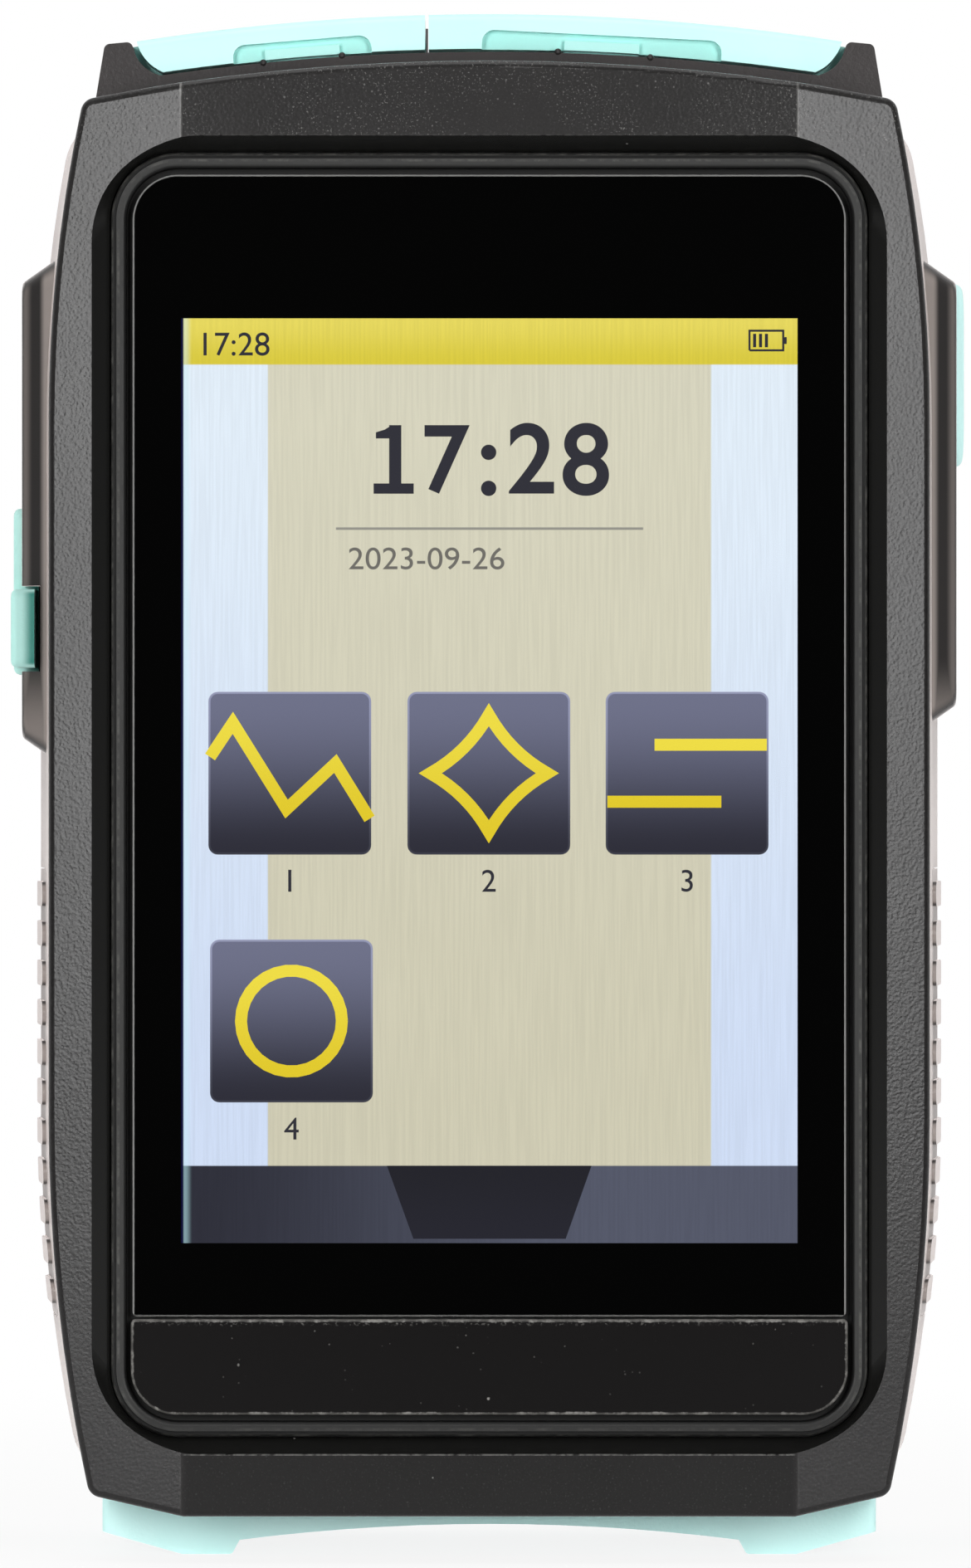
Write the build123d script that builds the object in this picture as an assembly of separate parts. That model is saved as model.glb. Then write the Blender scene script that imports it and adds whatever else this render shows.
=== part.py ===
from build123d import *
from math import atan, degrees
import os

# Pocket optical time domain reflectometer. Millimetres, +Z up, screen faces -Y.
# The feet stand on z = 0, x = 0 is the middle of the case, y = 0 the middle of its thickness.

# Picture and screen, which the front is laid out around
picture_width = 48.96
picture_height = 73.44
margin_side = 3.82
margin_low = 5.8
margin_high = 11.36
border_side = 6.65
border_low = 7.9
border_high = 8.9
glass_thickness = 0.85
glass_corner = 3.6
glass_recess = 2.5
mask_thickness = 0.25
panel_thickness = 1.1
panel_rim = 1.6
module_thickness = 1.8
module_rim = 2.9
module_low_rim = 5.4
module_high_rim = 4.1
module_play = 0.3
trim_height = 7.6
trim_gap = 0.2
trim_rise = 0.1
seal_gap = 0.5
seal_width = 1.2
seal_rise = 0.3
seal_play = 0.12
bevel_side = 2.84
bevel_ends = 1.15
bevel_corner = 5.0
ledge_thickness = 1.5

# Case
case_depth = 36.0
foot_height = 3.7
bottom_corner_rise = 1.6
bottom_corner_in = 3.25
bottom_flat_in = 10.75
top_corner_in = 2.75
top_rise = 3.0
waist_low_up = 31.1
waist_high_down = 28.1
ridge_in = 10.55
side_slope = 0.18
bezel_depth = 9.0
bezel_wall = 2.0
bezel_corner = 1.2
bezel_edge = 0.6
case_seal_in = 0.6
case_seal_width = 0.8
case_seal_depth = 0.85
case_seal_play = 0.05

# Rear housing
wall = 2.2
parting_step = 0.35
flare = 1.5
flare_back = 11.0
back_taper = 0.8
back_round = 4.0
housing_corner = 4.5
housing_top_down = 2.9
housing_bottom_up = 0.5
joint_play = 0.1

# Side guards, port cover and power key
guard_proud = 2.65
guard_front_gap = 2.6
guard_back_gap = 8.4
guard_top_gap = 14.7
guard_height_left = 41.0
guard_height_right = 38.4
guard_draft = 2.2
side_proud = 0.8
side_play = 0.3
flap_rise = 7.3
flap_height = 13.4
flap_margin = 3.6
flap_thickness = 2.05
flap_tab_height = 6.3
flap_tab_reach = 1.4
flap_tab_up = 0.5
flap_bead = 0.95
socket_height = 8.94
socket_width = 3.26
socket_depth = 7.3
socket_inset = 1.4
slot_play = 0.42
charge_board_width = 7.6
charge_board_height = 18.0
charge_screw_length = 5.0
key_top_gap = 2.0
key_height = 14.8
key_width = 6.8
key_travel = 0.8
key_flange = 1.0
key_flange_thickness = 0.8
key_pad = 0.85
switch_side = 6.0
switch_height = 1.8
switch_plunger = 0.5
small_board_thickness = 1.2

# Grips
grip_rise = 15.1
grip_gap = 8.4
grip_depth = 15.0
grip_inset = 0.6
rib_rise = 0.3
rib_count = 11
rib_width = 2.0
rib_round = 0.25

# Top frame and covers
ear_in = 0.6
ear_lean = 0.8
ear_rise = 2.2
ear_round = 0.5
ear_lip = 3.0
ear_width = 2.2
strip_rise = 1.4
strip_fall = 1.9
strip_end_in = 5.3
tub_in = 2.7
frame_wall = 1.6
frame_back_gap = 4.4
bay_depth = 11.6
cover_rise = 4.65
cover_fall = 2.45
cover_play = 0.25
cover_overhang = 0.3
cover_split_x = -5.0
hinge_down = 1.2
barrel_radius = 1.9
barrel_inset = 2.4
lug_radius = 1.6
lug_width = 2.5
lug_inset = 2.5
pin_radius = 0.8
pin_play = 0.05
pin_fit = 0.01
recess_depth = 0.9
recess_height = 1.3
recess_left_out = 8.7
recess_right_out = 10.6
recess_in = 4.4
tab_width = 6.0
tab_top_gap = 0.55
tab_thickness = 1.2
tab_drop = 2.6

# Ports
port_down = 3.1
ferrule_radius = 1.25
port_flange_radius = 4.9
port_collar_radius = 4.4
port_barrel_radius = 4.0
port_nose_radius = 3.3
port_tail_radius = 3.5
port_play = 0.15
port_key_width = 2.1
boot_length = 6.0
detector_length = 5.0
laser_length = 9.0

# Bottom bumper
foot_in = 0.7
foot_slope_run = 6.4
foot_width = 4.0
foot_end_z = 1.8
arch_end_z = 1.13
arch_z = 2.4
foot_front_gap = 0.2
foot_back_gap = 4.2

# Inside
frame_play = 0.95
frame_thickness = 1.4
frame_low_margin = 2.0
frame_screw_inset = 9.0
board_gap = 3.0
board_in = 4.6
board_thickness = 1.6
board_low_margin = 3.2
board_high_margin = 0.4
shield_height = 2.4
shield_margin = 6.6
shield_gap = 1.5
flex_half = 0.12
flex_width = 13.0
optics_in = 2.4
optics_room = 25.0
optics_height = 30.0
optics_down = 7.9
spool_radius = 15.4
spool_hub = 11.6
spool_base = 1.0
coil_thickness = 2.4
pigtail_radius = 0.45
battery_in = 3.9
battery_depth = 9.6
battery_round = 2.5
speaker_radius = 6.5
speaker_depth = 3.4
speaker_gap = 1.1
vent_width = 8.0
vent_height = 1.0
vent_pitch = 2.0

# Screws
case_screw_in_low = 6.55
case_screw_in_high = 5.15
case_screw_up = 10.1
case_screw_down = 3.6
case_screw_radius = 1.25
case_head_radius = 2.2
boss_radius = 2.1
post_radius = 2.8
boss_reach = 4.6
boss_gap = 10.6
top_screw_x = 18.0
top_screw_up = 2.5
small_screw_radius = 0.9
small_head_radius = 1.6
head_height = 1.3
screw_play = 0.08
pass_play = 0.2

# Heights that follow from the sizes above
bottom_z = foot_height
trim_low = bottom_z + border_low
trim_top = trim_low + trim_height
glass_bottom = trim_top + trim_gap
picture_bottom = glass_bottom + margin_low
picture_top = picture_bottom + picture_height
module_low = picture_bottom - module_low_rim
module_high = picture_top + module_high_rim
glass_top = picture_top + margin_high
top_z = glass_top + border_high
waist_low_z = bottom_z + waist_low_up
waist_high_z = top_z - waist_high_down
housing_top_z = top_z - housing_top_down
housing_bottom_z = bottom_z + housing_bottom_up
guard_high = top_z - guard_top_gap
guard_low_left = guard_high - guard_height_left
guard_low_right = guard_high - guard_height_right
flap_low = guard_low_left + flap_rise
flap_high = flap_low + flap_height
flap_mid_z = (flap_low + flap_high) / 2
tab_low = flap_low + flap_tab_up
key_mid_z = guard_high - key_top_gap - key_height / 2
grip_low = bottom_z + grip_rise
grip_height = guard_low_left - grip_gap - grip_low
strip_z = top_z + strip_rise
strip_end_z = strip_z - strip_fall
ear_top_z = top_z + ear_rise
bay_floor_z = top_z - bay_depth
tub_bottom_z = bay_floor_z - frame_wall
cover_top_z = top_z + cover_rise
cover_end_z = cover_top_z - cover_fall
hinge_z = top_z - hinge_down
relief_z = hinge_z - barrel_radius / 2 - side_play
port_top_z = top_z - port_down
case_screw_low = bottom_z + case_screw_up
case_screw_high = tub_bottom_z - case_screw_down
top_screw_z = bay_floor_z + top_screw_up
frame_low = module_low - frame_low_margin
flex_z = frame_low + 1.2
frame_high = case_screw_high - boss_radius - pass_play - 1.2
board_low = frame_low + board_low_margin
board_high = frame_high - board_high_margin
optics_high = board_high - optics_down
optics_low = optics_high - optics_height
optics_mid_z = (optics_low + optics_high) / 2
battery_low = board_low + 1.3
battery_high = optics_mid_z - spool_radius - 2
foot_head_z = head_height + 0.4
speaker_z = housing_bottom_z + wall + speaker_radius + speaker_gap

# Depths that follow
front_y = -case_depth / 2
back_y = case_depth / 2
part_y = front_y + bezel_depth
inner_back_y = back_y - wall
glass_y = front_y + glass_recess
mask_y = glass_y + glass_thickness
ledge_y = mask_y + mask_thickness
cavity_y = ledge_y + ledge_thickness
panel_back_y = ledge_y + panel_thickness
module_back_y = panel_back_y + module_thickness
frame_rear_y = module_back_y + frame_thickness
board_y = frame_rear_y + board_gap
board_back_y = board_y + board_thickness
optics_back_y = board_back_y + case_depth - optics_room
flare_y = part_y + flare_back
guard_front_y = part_y + guard_front_gap
guard_back_y = back_y - guard_back_gap
side_y = (guard_front_y + guard_back_y) / 2 - 0.6
flap_front_y = guard_front_y + flap_margin - 0.6
flap_back_y = guard_back_y - flap_margin - 0.6
flap_pin_y = flap_back_y + 0.4
frame_front_y = part_y + joint_play
frame_back_y = back_y - frame_back_gap
hinge_y = frame_back_y - barrel_radius - side_play
bay_front_y = frame_front_y + frame_wall
bay_back_y = hinge_y - lug_radius - 1.0
port_y = (bay_front_y + bay_back_y) / 2
foot_front_y = part_y + foot_front_gap
foot_back_y = back_y - foot_back_gap
foot_mid_y = (foot_front_y + foot_back_y) / 2
charge_board_y = side_y + socket_width / 2
charge_board_back_y = charge_board_y + small_board_thickness
cover_front_y = part_y + 0.2
lip_back_y = frame_front_y + ear_lip
case_post_y = part_y + boss_reach + boss_gap
case_head_y = back_y - 3.4
top_head_y = back_y - 1.8

# Widths that follow, each from the middle of the case
glass_half = picture_width / 2 + margin_side
case_half_width = glass_half + border_side
bottom_corner_half = case_half_width - bottom_corner_in
bottom_flat_half = case_half_width - bottom_flat_in
top_corner_half = case_half_width - top_corner_in
ridge_half = case_half_width - ridge_in
guard_half = case_half_width + guard_proud
side_half = guard_half + side_proud
pocket_half = side_half - flap_thickness - side_play
socket_mouth = pocket_half - 1.0
flap_pin_half = side_half - flap_thickness + flap_bead - 0.15
key_seat = case_half_width + flare - wall - key_pad
key_stack = key_flange_thickness + key_travel + 2 * pass_play + switch_plunger + switch_height
key_board_x = key_seat - key_stack - small_board_thickness
ear_half = top_corner_half - ear_in
strip_end_half = ear_half - strip_end_in
tub_half = ear_half - tub_in
bay_half = tub_half - frame_wall - joint_play
cover_half = tub_half + cover_overhang
relief_half = cover_half + side_play
otdr_x = (cover_split_x - bay_half) / 2
meter_x = cover_split_x + (bay_half - cover_split_x) * 0.28
locator_x = cover_split_x + (bay_half - cover_split_x) * 0.72
foot_half = bottom_corner_half - foot_in
foot_out_half = foot_half - foot_slope_run
foot_in_half = foot_out_half - foot_width
foot_mid = (foot_out_half + foot_in_half) / 2
frame_half = case_half_width - bezel_wall - frame_play
frame_screw_x = frame_half - boss_radius + 0.5
board_half = frame_half - board_in
optics_half = board_half - optics_in
case_screw_places = (
    (case_half_width - case_screw_in_low, case_screw_low),
    (case_half_width - case_screw_in_high, case_screw_high),
)
battery_half = case_half_width - case_screw_in_low - battery_in

parts = {}


def stand(sketch, y):
    return Plane.XZ.offset(-y) * sketch


def along_y(sketch, y_from, y_to):
    return extrude(stand(sketch, y_to), y_to - y_from)


def along_x(sketch, x_from, x_to):
    return extrude(Plane.YZ.offset(x_from) * sketch, x_to - x_from)


def along_z(sketch, z_from, z_to):
    return extrude(Plane.XY.offset(z_from) * sketch, z_to - z_from)


def block(x, y, z):
    size = Box(x[1] - x[0], y[1] - y[0], z[1] - z[0])
    return Pos((x[0] + x[1]) / 2, (y[0] + y[1]) / 2, (z[0] + z[1]) / 2) * size


def rod_x(y, z, radius, x_from, x_to):
    return along_x(Pos(y, z) * Circle(radius), x_from, x_to)


def rod_y(x, z, radius, y_from, y_to):
    return along_y(Pos(x, z) * Circle(radius), y_from, y_to)


def rod_z(x, y, radius, z_from, z_to):
    return along_z(Pos(x, y) * Circle(radius), z_from, z_to)


def window(half, low, high, radius):
    return Pos(0, (low + high) / 2) * RectangleRounded(2 * half, high - low, radius)


def stadium(y, z, width, height):
    return Pos(y, z) * Rot(0, 0, 90) * SlotOverall(height, width)


def both_sides(shape):
    return shape + mirror(shape, Plane.YZ)


def group(shapes):
    return Compound(children=[solid for shape in shapes for solid in shape.solids()])


def bowed_outline(side, ends, low, high, rise, corner):
    # the case seen from the front: bowed sides, chamfered bottom corners, arched or straight top
    foot = (bottom_flat_half, low - ends)
    heel = (bottom_corner_half + side, low + bottom_corner_rise - ends)
    waist_low = (case_half_width + side, waist_low_z)
    waist_high = (case_half_width + side, waist_high_z)
    shoulder = (top_corner_half + side, high - rise + ends)
    edges = [
        Line(foot, heel),
        TangentArc(waist_low, heel, tangent=(0, -1)),
        Line(waist_low, waist_high),
        TangentArc(waist_high, shoulder, tangent=(0, 1)),
    ]
    edges += [mirror(edge, Plane.YZ) for edge in edges]
    edges.append(Line((-foot[0], foot[1]), foot))
    if rise > 0:
        edges.append(ThreePointArc((-shoulder[0], shoulder[1]), (0, high + ends), shoulder))
    else:
        edges.append(Line((-shoulder[0], shoulder[1]), shoulder))
    face = make_face(Curve() + edges)
    corners = []
    for point in face.vertices():
        right_hand = Vector(abs(point.X), point.Y)
        if min((right_hand - Vector(*end)).length for end in (heel, shoulder)) < 0.05:
            corners.append(point)
    return fillet(corners, corner)


def bezel_outline(grow):
    return bowed_outline(grow, grow, bottom_z, top_z, top_rise, bezel_corner)


def housing_body(grow):
    # the outside of the rear housing, or a skin of it that many millimetres further out
    def section(side, y):
        outline = bowed_outline(side + grow, grow, housing_bottom_z, housing_top_z, 0, housing_corner)
        return stand(outline, y)

    body = loft([section(parting_step, part_y), section(flare, flare_y)], ruled=True)
    body += loft([section(flare, flare_y), section(-back_taper, back_y + grow)], ruled=True)
    if grow >= 0:
        body = fillet(body.faces().sort_by(Axis.Y)[-1].edges(), back_round)
    return body


def bezel():
    body = along_y(bezel_outline(0), front_y, part_y)
    reach = 2 * case_half_width
    wedge = make_face(Polyline((ridge_half, front_y), (reach, front_y),
                               (reach, front_y + side_slope * (reach - ridge_half)), close=True))
    body -= both_sides(along_z(wedge, bottom_z - 5, top_z + 5))
    faces = [face for face in body.faces() if face.normal_at().Y < -0.9]
    edges = [edge for face in faces for edge in face.edges()]
    rim = [edge for edge in edges if not (abs(abs(edge.center().X) - ridge_half) < 0.1
                                          and edge.bounding_box().size.X < 0.1)]
    body = fillet(rim, bezel_edge)
    body = cut_window(body)
    body -= along_y(bezel_outline(-bezel_wall), cavity_y, part_y)
    for x, z in case_screw_places:
        body += both_sides(rod_y(x, z, boss_radius, cavity_y - 0.2, part_y + boss_reach))
        body -= both_sides(rod_y(x, z, case_screw_radius + screw_play, cavity_y + 0.2, part_y + boss_reach))
    groove = bezel_outline(case_seal_play - case_seal_in)
    groove -= bezel_outline(-case_seal_in - case_seal_width - case_seal_play)
    body -= along_y(groove, part_y - case_seal_depth - case_seal_play, part_y)
    for z in frame_screw_heights():
        body += both_sides(rod_y(frame_screw_x, z, boss_radius, cavity_y - 0.2, module_back_y))
        body -= both_sides(rod_y(frame_screw_x, z, small_screw_radius + screw_play,
                                 cavity_y - 0.9, module_back_y + 0.1))
    return body


def cut_window(body):
    # the concave border of the screen, the seat of the glass and the hole behind it
    inner = seal_gap + seal_width + seal_play
    half = glass_half + inner
    low = trim_low - inner
    high = glass_top + inner
    corner = glass_corner + inner
    rim = window(half + bevel_side, low - bevel_ends, high + bevel_ends, corner + bevel_corner)
    body -= loft([stand(window(half, low, high, corner), glass_y), stand(rim, front_y - 0.01)], ruled=True)
    body -= along_y(window(half, low, high, corner), glass_y - 0.01, ledge_y)
    hole = window(picture_width / 2 + module_rim + module_play, module_low - module_play,
                  module_high + module_play, 0.8)
    return body - along_y(hole, ledge_y - 1, cavity_y + 1)


def frame_screw_heights():
    return (frame_low + frame_screw_inset, frame_high - frame_screw_inset)


def screen_parts():
    outer = seal_gap + seal_width
    ring = window(glass_half + outer, trim_low - outer, glass_top + outer, glass_corner + outer)
    ring -= window(glass_half + seal_gap, trim_low - seal_gap, glass_top + seal_gap, glass_corner + seal_gap)
    seal = along_y(ring, glass_y - seal_rise, ledge_y)
    parts["screen_seal"] = fillet(seal.faces().sort_by(Axis.Y)[0].edges(), 0.35)

    sheet = Pos(0, (glass_bottom + glass_top) / 2) * Rectangle(2 * glass_half, glass_top - glass_bottom)
    sheet = fillet(sheet.vertices().group_by(Axis.Y)[-1], glass_corner)
    sheet = fillet(sheet.vertices().group_by(Axis.Y)[0], 0.4)
    glass = along_y(sheet, glass_y, mask_y)
    parts["touch_glass"] = chamfer(glass.faces().sort_by(Axis.Y)[0].edges(), 0.12)

    strip = Pos(0, (trim_low + trim_top) / 2) * Rectangle(2 * glass_half + 0.3, trim_height)
    strip = fillet(strip.vertices().group_by(Axis.Y)[0], glass_corner)
    strip = fillet(strip.vertices().group_by(Axis.Y)[-1], 0.4)
    trim = along_y(strip, glass_y - trim_rise, ledge_y)
    parts["trim_plate"] = fillet(trim.faces().sort_by(Axis.Y)[0].edges(), 0.2)

    outer = window(picture_width / 2 + module_rim, module_low, module_high, 0.6)
    picture = Pos(0, (picture_bottom + picture_top) / 2) * Rectangle(picture_width, picture_height)
    parts["screen_mask"] = along_y(sheet - picture, mask_y, ledge_y)
    panel = window(picture_width / 2 + panel_rim, module_low + panel_rim, module_high - panel_rim, 0.4)
    parts["display_panel"] = along_y(panel, ledge_y, panel_back_y)
    tray = along_y(outer, ledge_y, module_back_y)
    parts["lcd_module"] = tray - along_y(offset(panel, 0.05), ledge_y - 1, panel_back_y)


def inner_frame():
    sheet = Pos(0, (frame_low + frame_high) / 2) * Rectangle(2 * frame_half, frame_high - frame_low)
    sheet = chamfer(sheet.vertices(), 2.0)
    flex_hole = Pos(0, flex_z) * Rectangle(flex_width + 2, 1.4)
    body = along_y(sheet - flex_hole, module_back_y, frame_rear_y)
    for x, z in board_screw_places():
        body += rod_y(x, z, boss_radius, module_back_y + 0.2, board_y)
        body -= rod_y(x, z, small_screw_radius + screw_play, module_back_y + 1.0, board_y + 1)
    for z in frame_screw_heights():
        body -= both_sides(rod_y(frame_screw_x, z, small_screw_radius + pass_play,
                                 module_back_y - 1, frame_rear_y + 1))
    return body


def board_screw_places():
    side = board_half - 2.0
    return [(x, z) for x in (-side, side) for z in (board_low + 4, board_high - 5)]


def screw_along_y(x, z, radius, head_radius, seat_y, tip_y):
    # the head stands on the plane it clamps, on the far side from the tip
    head_y = seat_y + (head_height if seat_y > tip_y else -head_height)
    head = rod_y(x, z, head_radius, min(seat_y, head_y), max(seat_y, head_y))
    return head + rod_y(x, z, radius, min(seat_y, tip_y), max(seat_y, tip_y))


def small_screw(x, z, seat_y, tip_y):
    return screw_along_y(x, z, small_screw_radius, small_head_radius, seat_y, tip_y)


def board_parts():
    board = along_y(window(board_half, board_low, board_high, 1.5), board_y, board_back_y)
    for x, z in board_screw_places():
        board -= rod_y(x, z, small_screw_radius + pass_play, board_y - 1, board_back_y + 1)
    parts["main_board"] = board
    parts["board_screws"] = group([
        small_screw(x, z, board_back_y, module_back_y + 1.2) for x, z in board_screw_places()
    ])
    parts["frame_screws"] = group([
        small_screw(x, z, frame_rear_y, cavity_y - 0.7)
        for x in (-frame_screw_x, frame_screw_x) for z in frame_screw_heights()
    ])
    parts["board_shields"] = shields()
    end_y = (board_y + board_back_y) / 2
    start_y = (cavity_y + module_back_y) / 2
    path = Polyline((start_y, module_low - flex_half - 0.02), (start_y, flex_z), (end_y, flex_z),
                    (end_y, board_low - flex_half - 0.02))
    ribbon = offset(path, flex_half, kind=Kind.TANGENT, side=Side.BOTH)
    parts["display_flex"] = along_x(make_face(ribbon), -flex_width / 2, flex_width / 2)


def shields():
    # two stacked cans on the left and a tall one on the right, over the lower half of the board
    side = board_half - shield_margin
    low = board_low + shield_margin
    high = optics_low - shield_gap
    split = low + (high - low) * 0.7
    cans = []
    for x0, x1, z0, z1 in ((-side, -shield_gap, low, split - shield_gap), (-side, -shield_gap, split, high),
                           (shield_gap, side, low, high)):
        lid = Pos((x0 + x1) / 2, (z0 + z1) / 2) * RectangleRounded(x1 - x0, z1 - z0, 1)
        can = along_y(lid, board_back_y, board_back_y + shield_height)
        cans.append(chamfer(can.faces().sort_by(Axis.Y)[-1].edges(), 0.4))
    return group(cans)


def optics():
    can = block((-optics_half, optics_half), (board_back_y, optics_back_y), (optics_low, optics_high))
    can = fillet(can.edges().filter_by(Axis.Y), 1.5)
    parts["optical_module"] = chamfer(can.faces().sort_by(Axis.Y)[-1].edges(), 0.6)
    coil_y = optics_back_y + spool_base
    coil_back_y = coil_y + coil_thickness
    tray = rod_y(0, optics_mid_z, spool_radius + 0.6, optics_back_y, coil_y)
    tray += rod_y(0, optics_mid_z, spool_hub - 0.1, coil_y - 0.1, coil_back_y)
    parts["fibre_tray"] = tray - rod_y(0, optics_mid_z, spool_hub - 2, coil_y, coil_back_y + 1)
    ring = Circle(spool_radius) - Circle(spool_hub)
    parts["fibre_coil"] = along_y(Pos(0, optics_mid_z) * ring, coil_y, coil_back_y)
    lie_y = coil_back_y + pigtail_radius + 0.05
    lead_x = otdr_x + 2
    start_z = tub_bottom_z - boot_length
    route = FilletPolyline((lead_x, port_y, start_z), (lead_x, port_y, start_z - 3.5),
                           (lead_x, lie_y, optics_high - 1.5), (lead_x, lie_y, optics_mid_z - 2), radius=3.0)
    disc = Plane(route @ 0, z_dir=route % 0) * Circle(pigtail_radius)
    parts["fibre_pigtail"] = sweep(disc, route)


def frame_outline(grow):
    # front view of the ears and the strip; grow is the play left for the covers
    tip = (ear_half - ear_lean - ear_width - grow, ear_top_z + 3 * grow)
    toe_half = strip_end_half - grow
    toe_z = strip_end_z + grow
    arch = ThreePointArc((-toe_half, toe_z), (0, strip_z + grow), (toe_half, toe_z))
    ear = [
        Line((ear_half, housing_top_z), (ear_half - ear_lean, ear_top_z - 0.2)),
        Line((ear_half - ear_lean, ear_top_z - 0.2), tip),
        SagittaArc(tip, (toe_half, toe_z), (ear_top_z - strip_end_z) * 0.22),
    ]
    edges = ear + [mirror(edge, Plane.YZ) for edge in ear]
    edges += [arch, Line((-ear_half, housing_top_z), (ear_half, housing_top_z))]
    face = make_face(Curve() + edges)
    return fillet([point for point in face.vertices() if point.Y > ear_top_z - 0.5], ear_round)


def top_frame():
    body = along_y(frame_outline(0), frame_front_y, frame_back_y)
    body -= block((-relief_half, relief_half), (lip_back_y, frame_back_y + 1), (relief_z, ear_top_z + 1))
    body += block((-tub_half, tub_half), (frame_front_y, frame_back_y), (tub_bottom_z, relief_z))
    body -= block((-bay_half, bay_half), (bay_front_y, bay_back_y), (bay_floor_z, strip_z + 5))
    body -= block((-bay_half, bay_half), (bay_back_y - 1, frame_back_y + 1),
                  (hinge_z - barrel_radius - 0.4, strip_z + 5))
    for lug in lug_ranges():
        stem = Pos(hinge_y, hinge_z) * Circle(lug_radius)
        stem += Pos(hinge_y, hinge_z - 1.5) * Rectangle(2 * lug_radius, 3)
        body += along_x(stem, *lug)
    for x0, x1 in cover_ranges():
        body -= rod_x(hinge_y, hinge_z, pin_radius + pin_fit, x0, x1)
    for x in (otdr_x, meter_x, locator_x):
        body -= rod_z(x, port_y, port_tail_radius + port_play, tub_bottom_z - 1, bay_floor_z + 1)
    body -= both_sides(rod_y(top_screw_x, top_screw_z, case_screw_radius + screw_play,
                             bay_back_y + 0.6, frame_back_y + 1))
    return body


def cover_ranges():
    return [(-cover_half, cover_split_x - side_play / 2), (cover_split_x + side_play / 2, cover_half)]


def lug_ranges():
    ends = [(x0 + lug_inset, x1 - lug_inset) for x0, x1 in cover_ranges()]
    return [(a, a + lug_width) for a, b in ends] + [(b - lug_width, b) for a, b in ends]


def cover_top(x):
    return cover_top_z - (cover_top_z - cover_end_z) * (x / cover_half) ** 2


def cover_bottom(x):
    return strip_z + cover_play - (strip_z - strip_end_z) * (x / strip_end_half) ** 2


def cover_slope(x):
    # lean of the lower edge there, in degrees
    return degrees(atan(-2 * (strip_z - strip_end_z) * x / strip_end_half ** 2))


def cover_slab(x0, x1):
    # arched at the front, flat where it meets the hinge
    mid = (x0 + x1) / 2
    nose = make_face(Curve() + [
        ThreePointArc((x0, cover_bottom(x0)), (mid, cover_bottom(mid)), (x1, cover_bottom(x1))),
        Line((x1, cover_bottom(x1)), (x1, cover_top(x1))),
        ThreePointArc((x1, cover_top(x1)), (mid, cover_top(mid)), (x0, cover_top(x0))),
        Line((x0, cover_top(x0)), (x0, cover_bottom(x0))),
    ])
    tail = make_face(Polyline((x0, hinge_z - 0.5), (x1, hinge_z - 0.5), (x1, hinge_z + barrel_radius),
                              (x0, hinge_z + barrel_radius), close=True))
    slab = loft([stand(nose, cover_front_y), stand(tail, hinge_y)], ruled=True)
    crown = [edge for edge in slab.edges() if abs(edge.center().Y - cover_front_y) < 0.01
             and edge.center().Z > strip_z - 1 and edge.bounding_box().size.X > 5]
    return fillet(ShapeList(crown).sort_by(Axis.Z)[-1], 0.8)


def top_cover(x0, x1, recess_from, recess_to):
    slab = cover_slab(x0, x1)
    slab -= along_y(frame_outline(cover_play), cover_front_y - 1, lip_back_y + side_play)
    mid = (recess_from + recess_to) / 2
    tab = (mid - tab_width / 2, mid + tab_width / 2)
    lean = Location((mid, cover_bottom(mid)), cover_slope(mid))
    hollow = Rectangle(recess_to - recess_from, 2 * recess_height)
    hollow = lean * fillet(hollow.vertices().group_by(Axis.Y)[-1], 1.0)
    finger = along_y(hollow, cover_front_y - 1, cover_front_y + recess_depth)
    step = lean * Rectangle(tab_width, 2 * (recess_height - tab_top_gap))
    finger -= along_y(step, cover_front_y + recess_depth / 3, cover_front_y + 2 * recess_depth)
    lip_y = bay_front_y + side_play
    lip_top = cover_bottom(mid) + 0.6
    lip = block(tab, (lip_y, lip_y + tab_thickness), (lip_top - tab_drop - 0.6, lip_top))
    barrel = rod_x(hinge_y, hinge_z, barrel_radius, x0 + barrel_inset, x1 - barrel_inset)
    body = slab - finger + lip + barrel
    for lug in lug_ranges():
        body -= rod_x(hinge_y, hinge_z, lug_radius + 0.4, lug[0] - side_play, lug[1] + side_play)
    return body - rod_x(hinge_y, hinge_z, pin_radius + pin_play, x0 - 1, x1 + 1)


def port(x, nose_radius):
    # a socket for a ferrule on a flange, with a tail through the floor of the bay
    flange_z = bay_floor_z + 1.6
    collar_z = bay_floor_z + 4.4
    bottom = tub_bottom_z - 0.01
    profile = Polyline((0, bottom), (port_tail_radius, bottom), (port_tail_radius, bay_floor_z),
                       (port_flange_radius, bay_floor_z), (port_flange_radius, flange_z),
                       (port_collar_radius, flange_z), (port_collar_radius, collar_z),
                       (nose_radius, collar_z + 0.5), (nose_radius, port_top_z - 0.4),
                       (nose_radius - 0.4, port_top_z), (ferrule_radius, port_top_z),
                       (ferrule_radius, flange_z), (0, flange_z), close=True)
    return Pos(x, port_y) * revolve(Plane.XZ * make_face(profile), Axis.Z)


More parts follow.
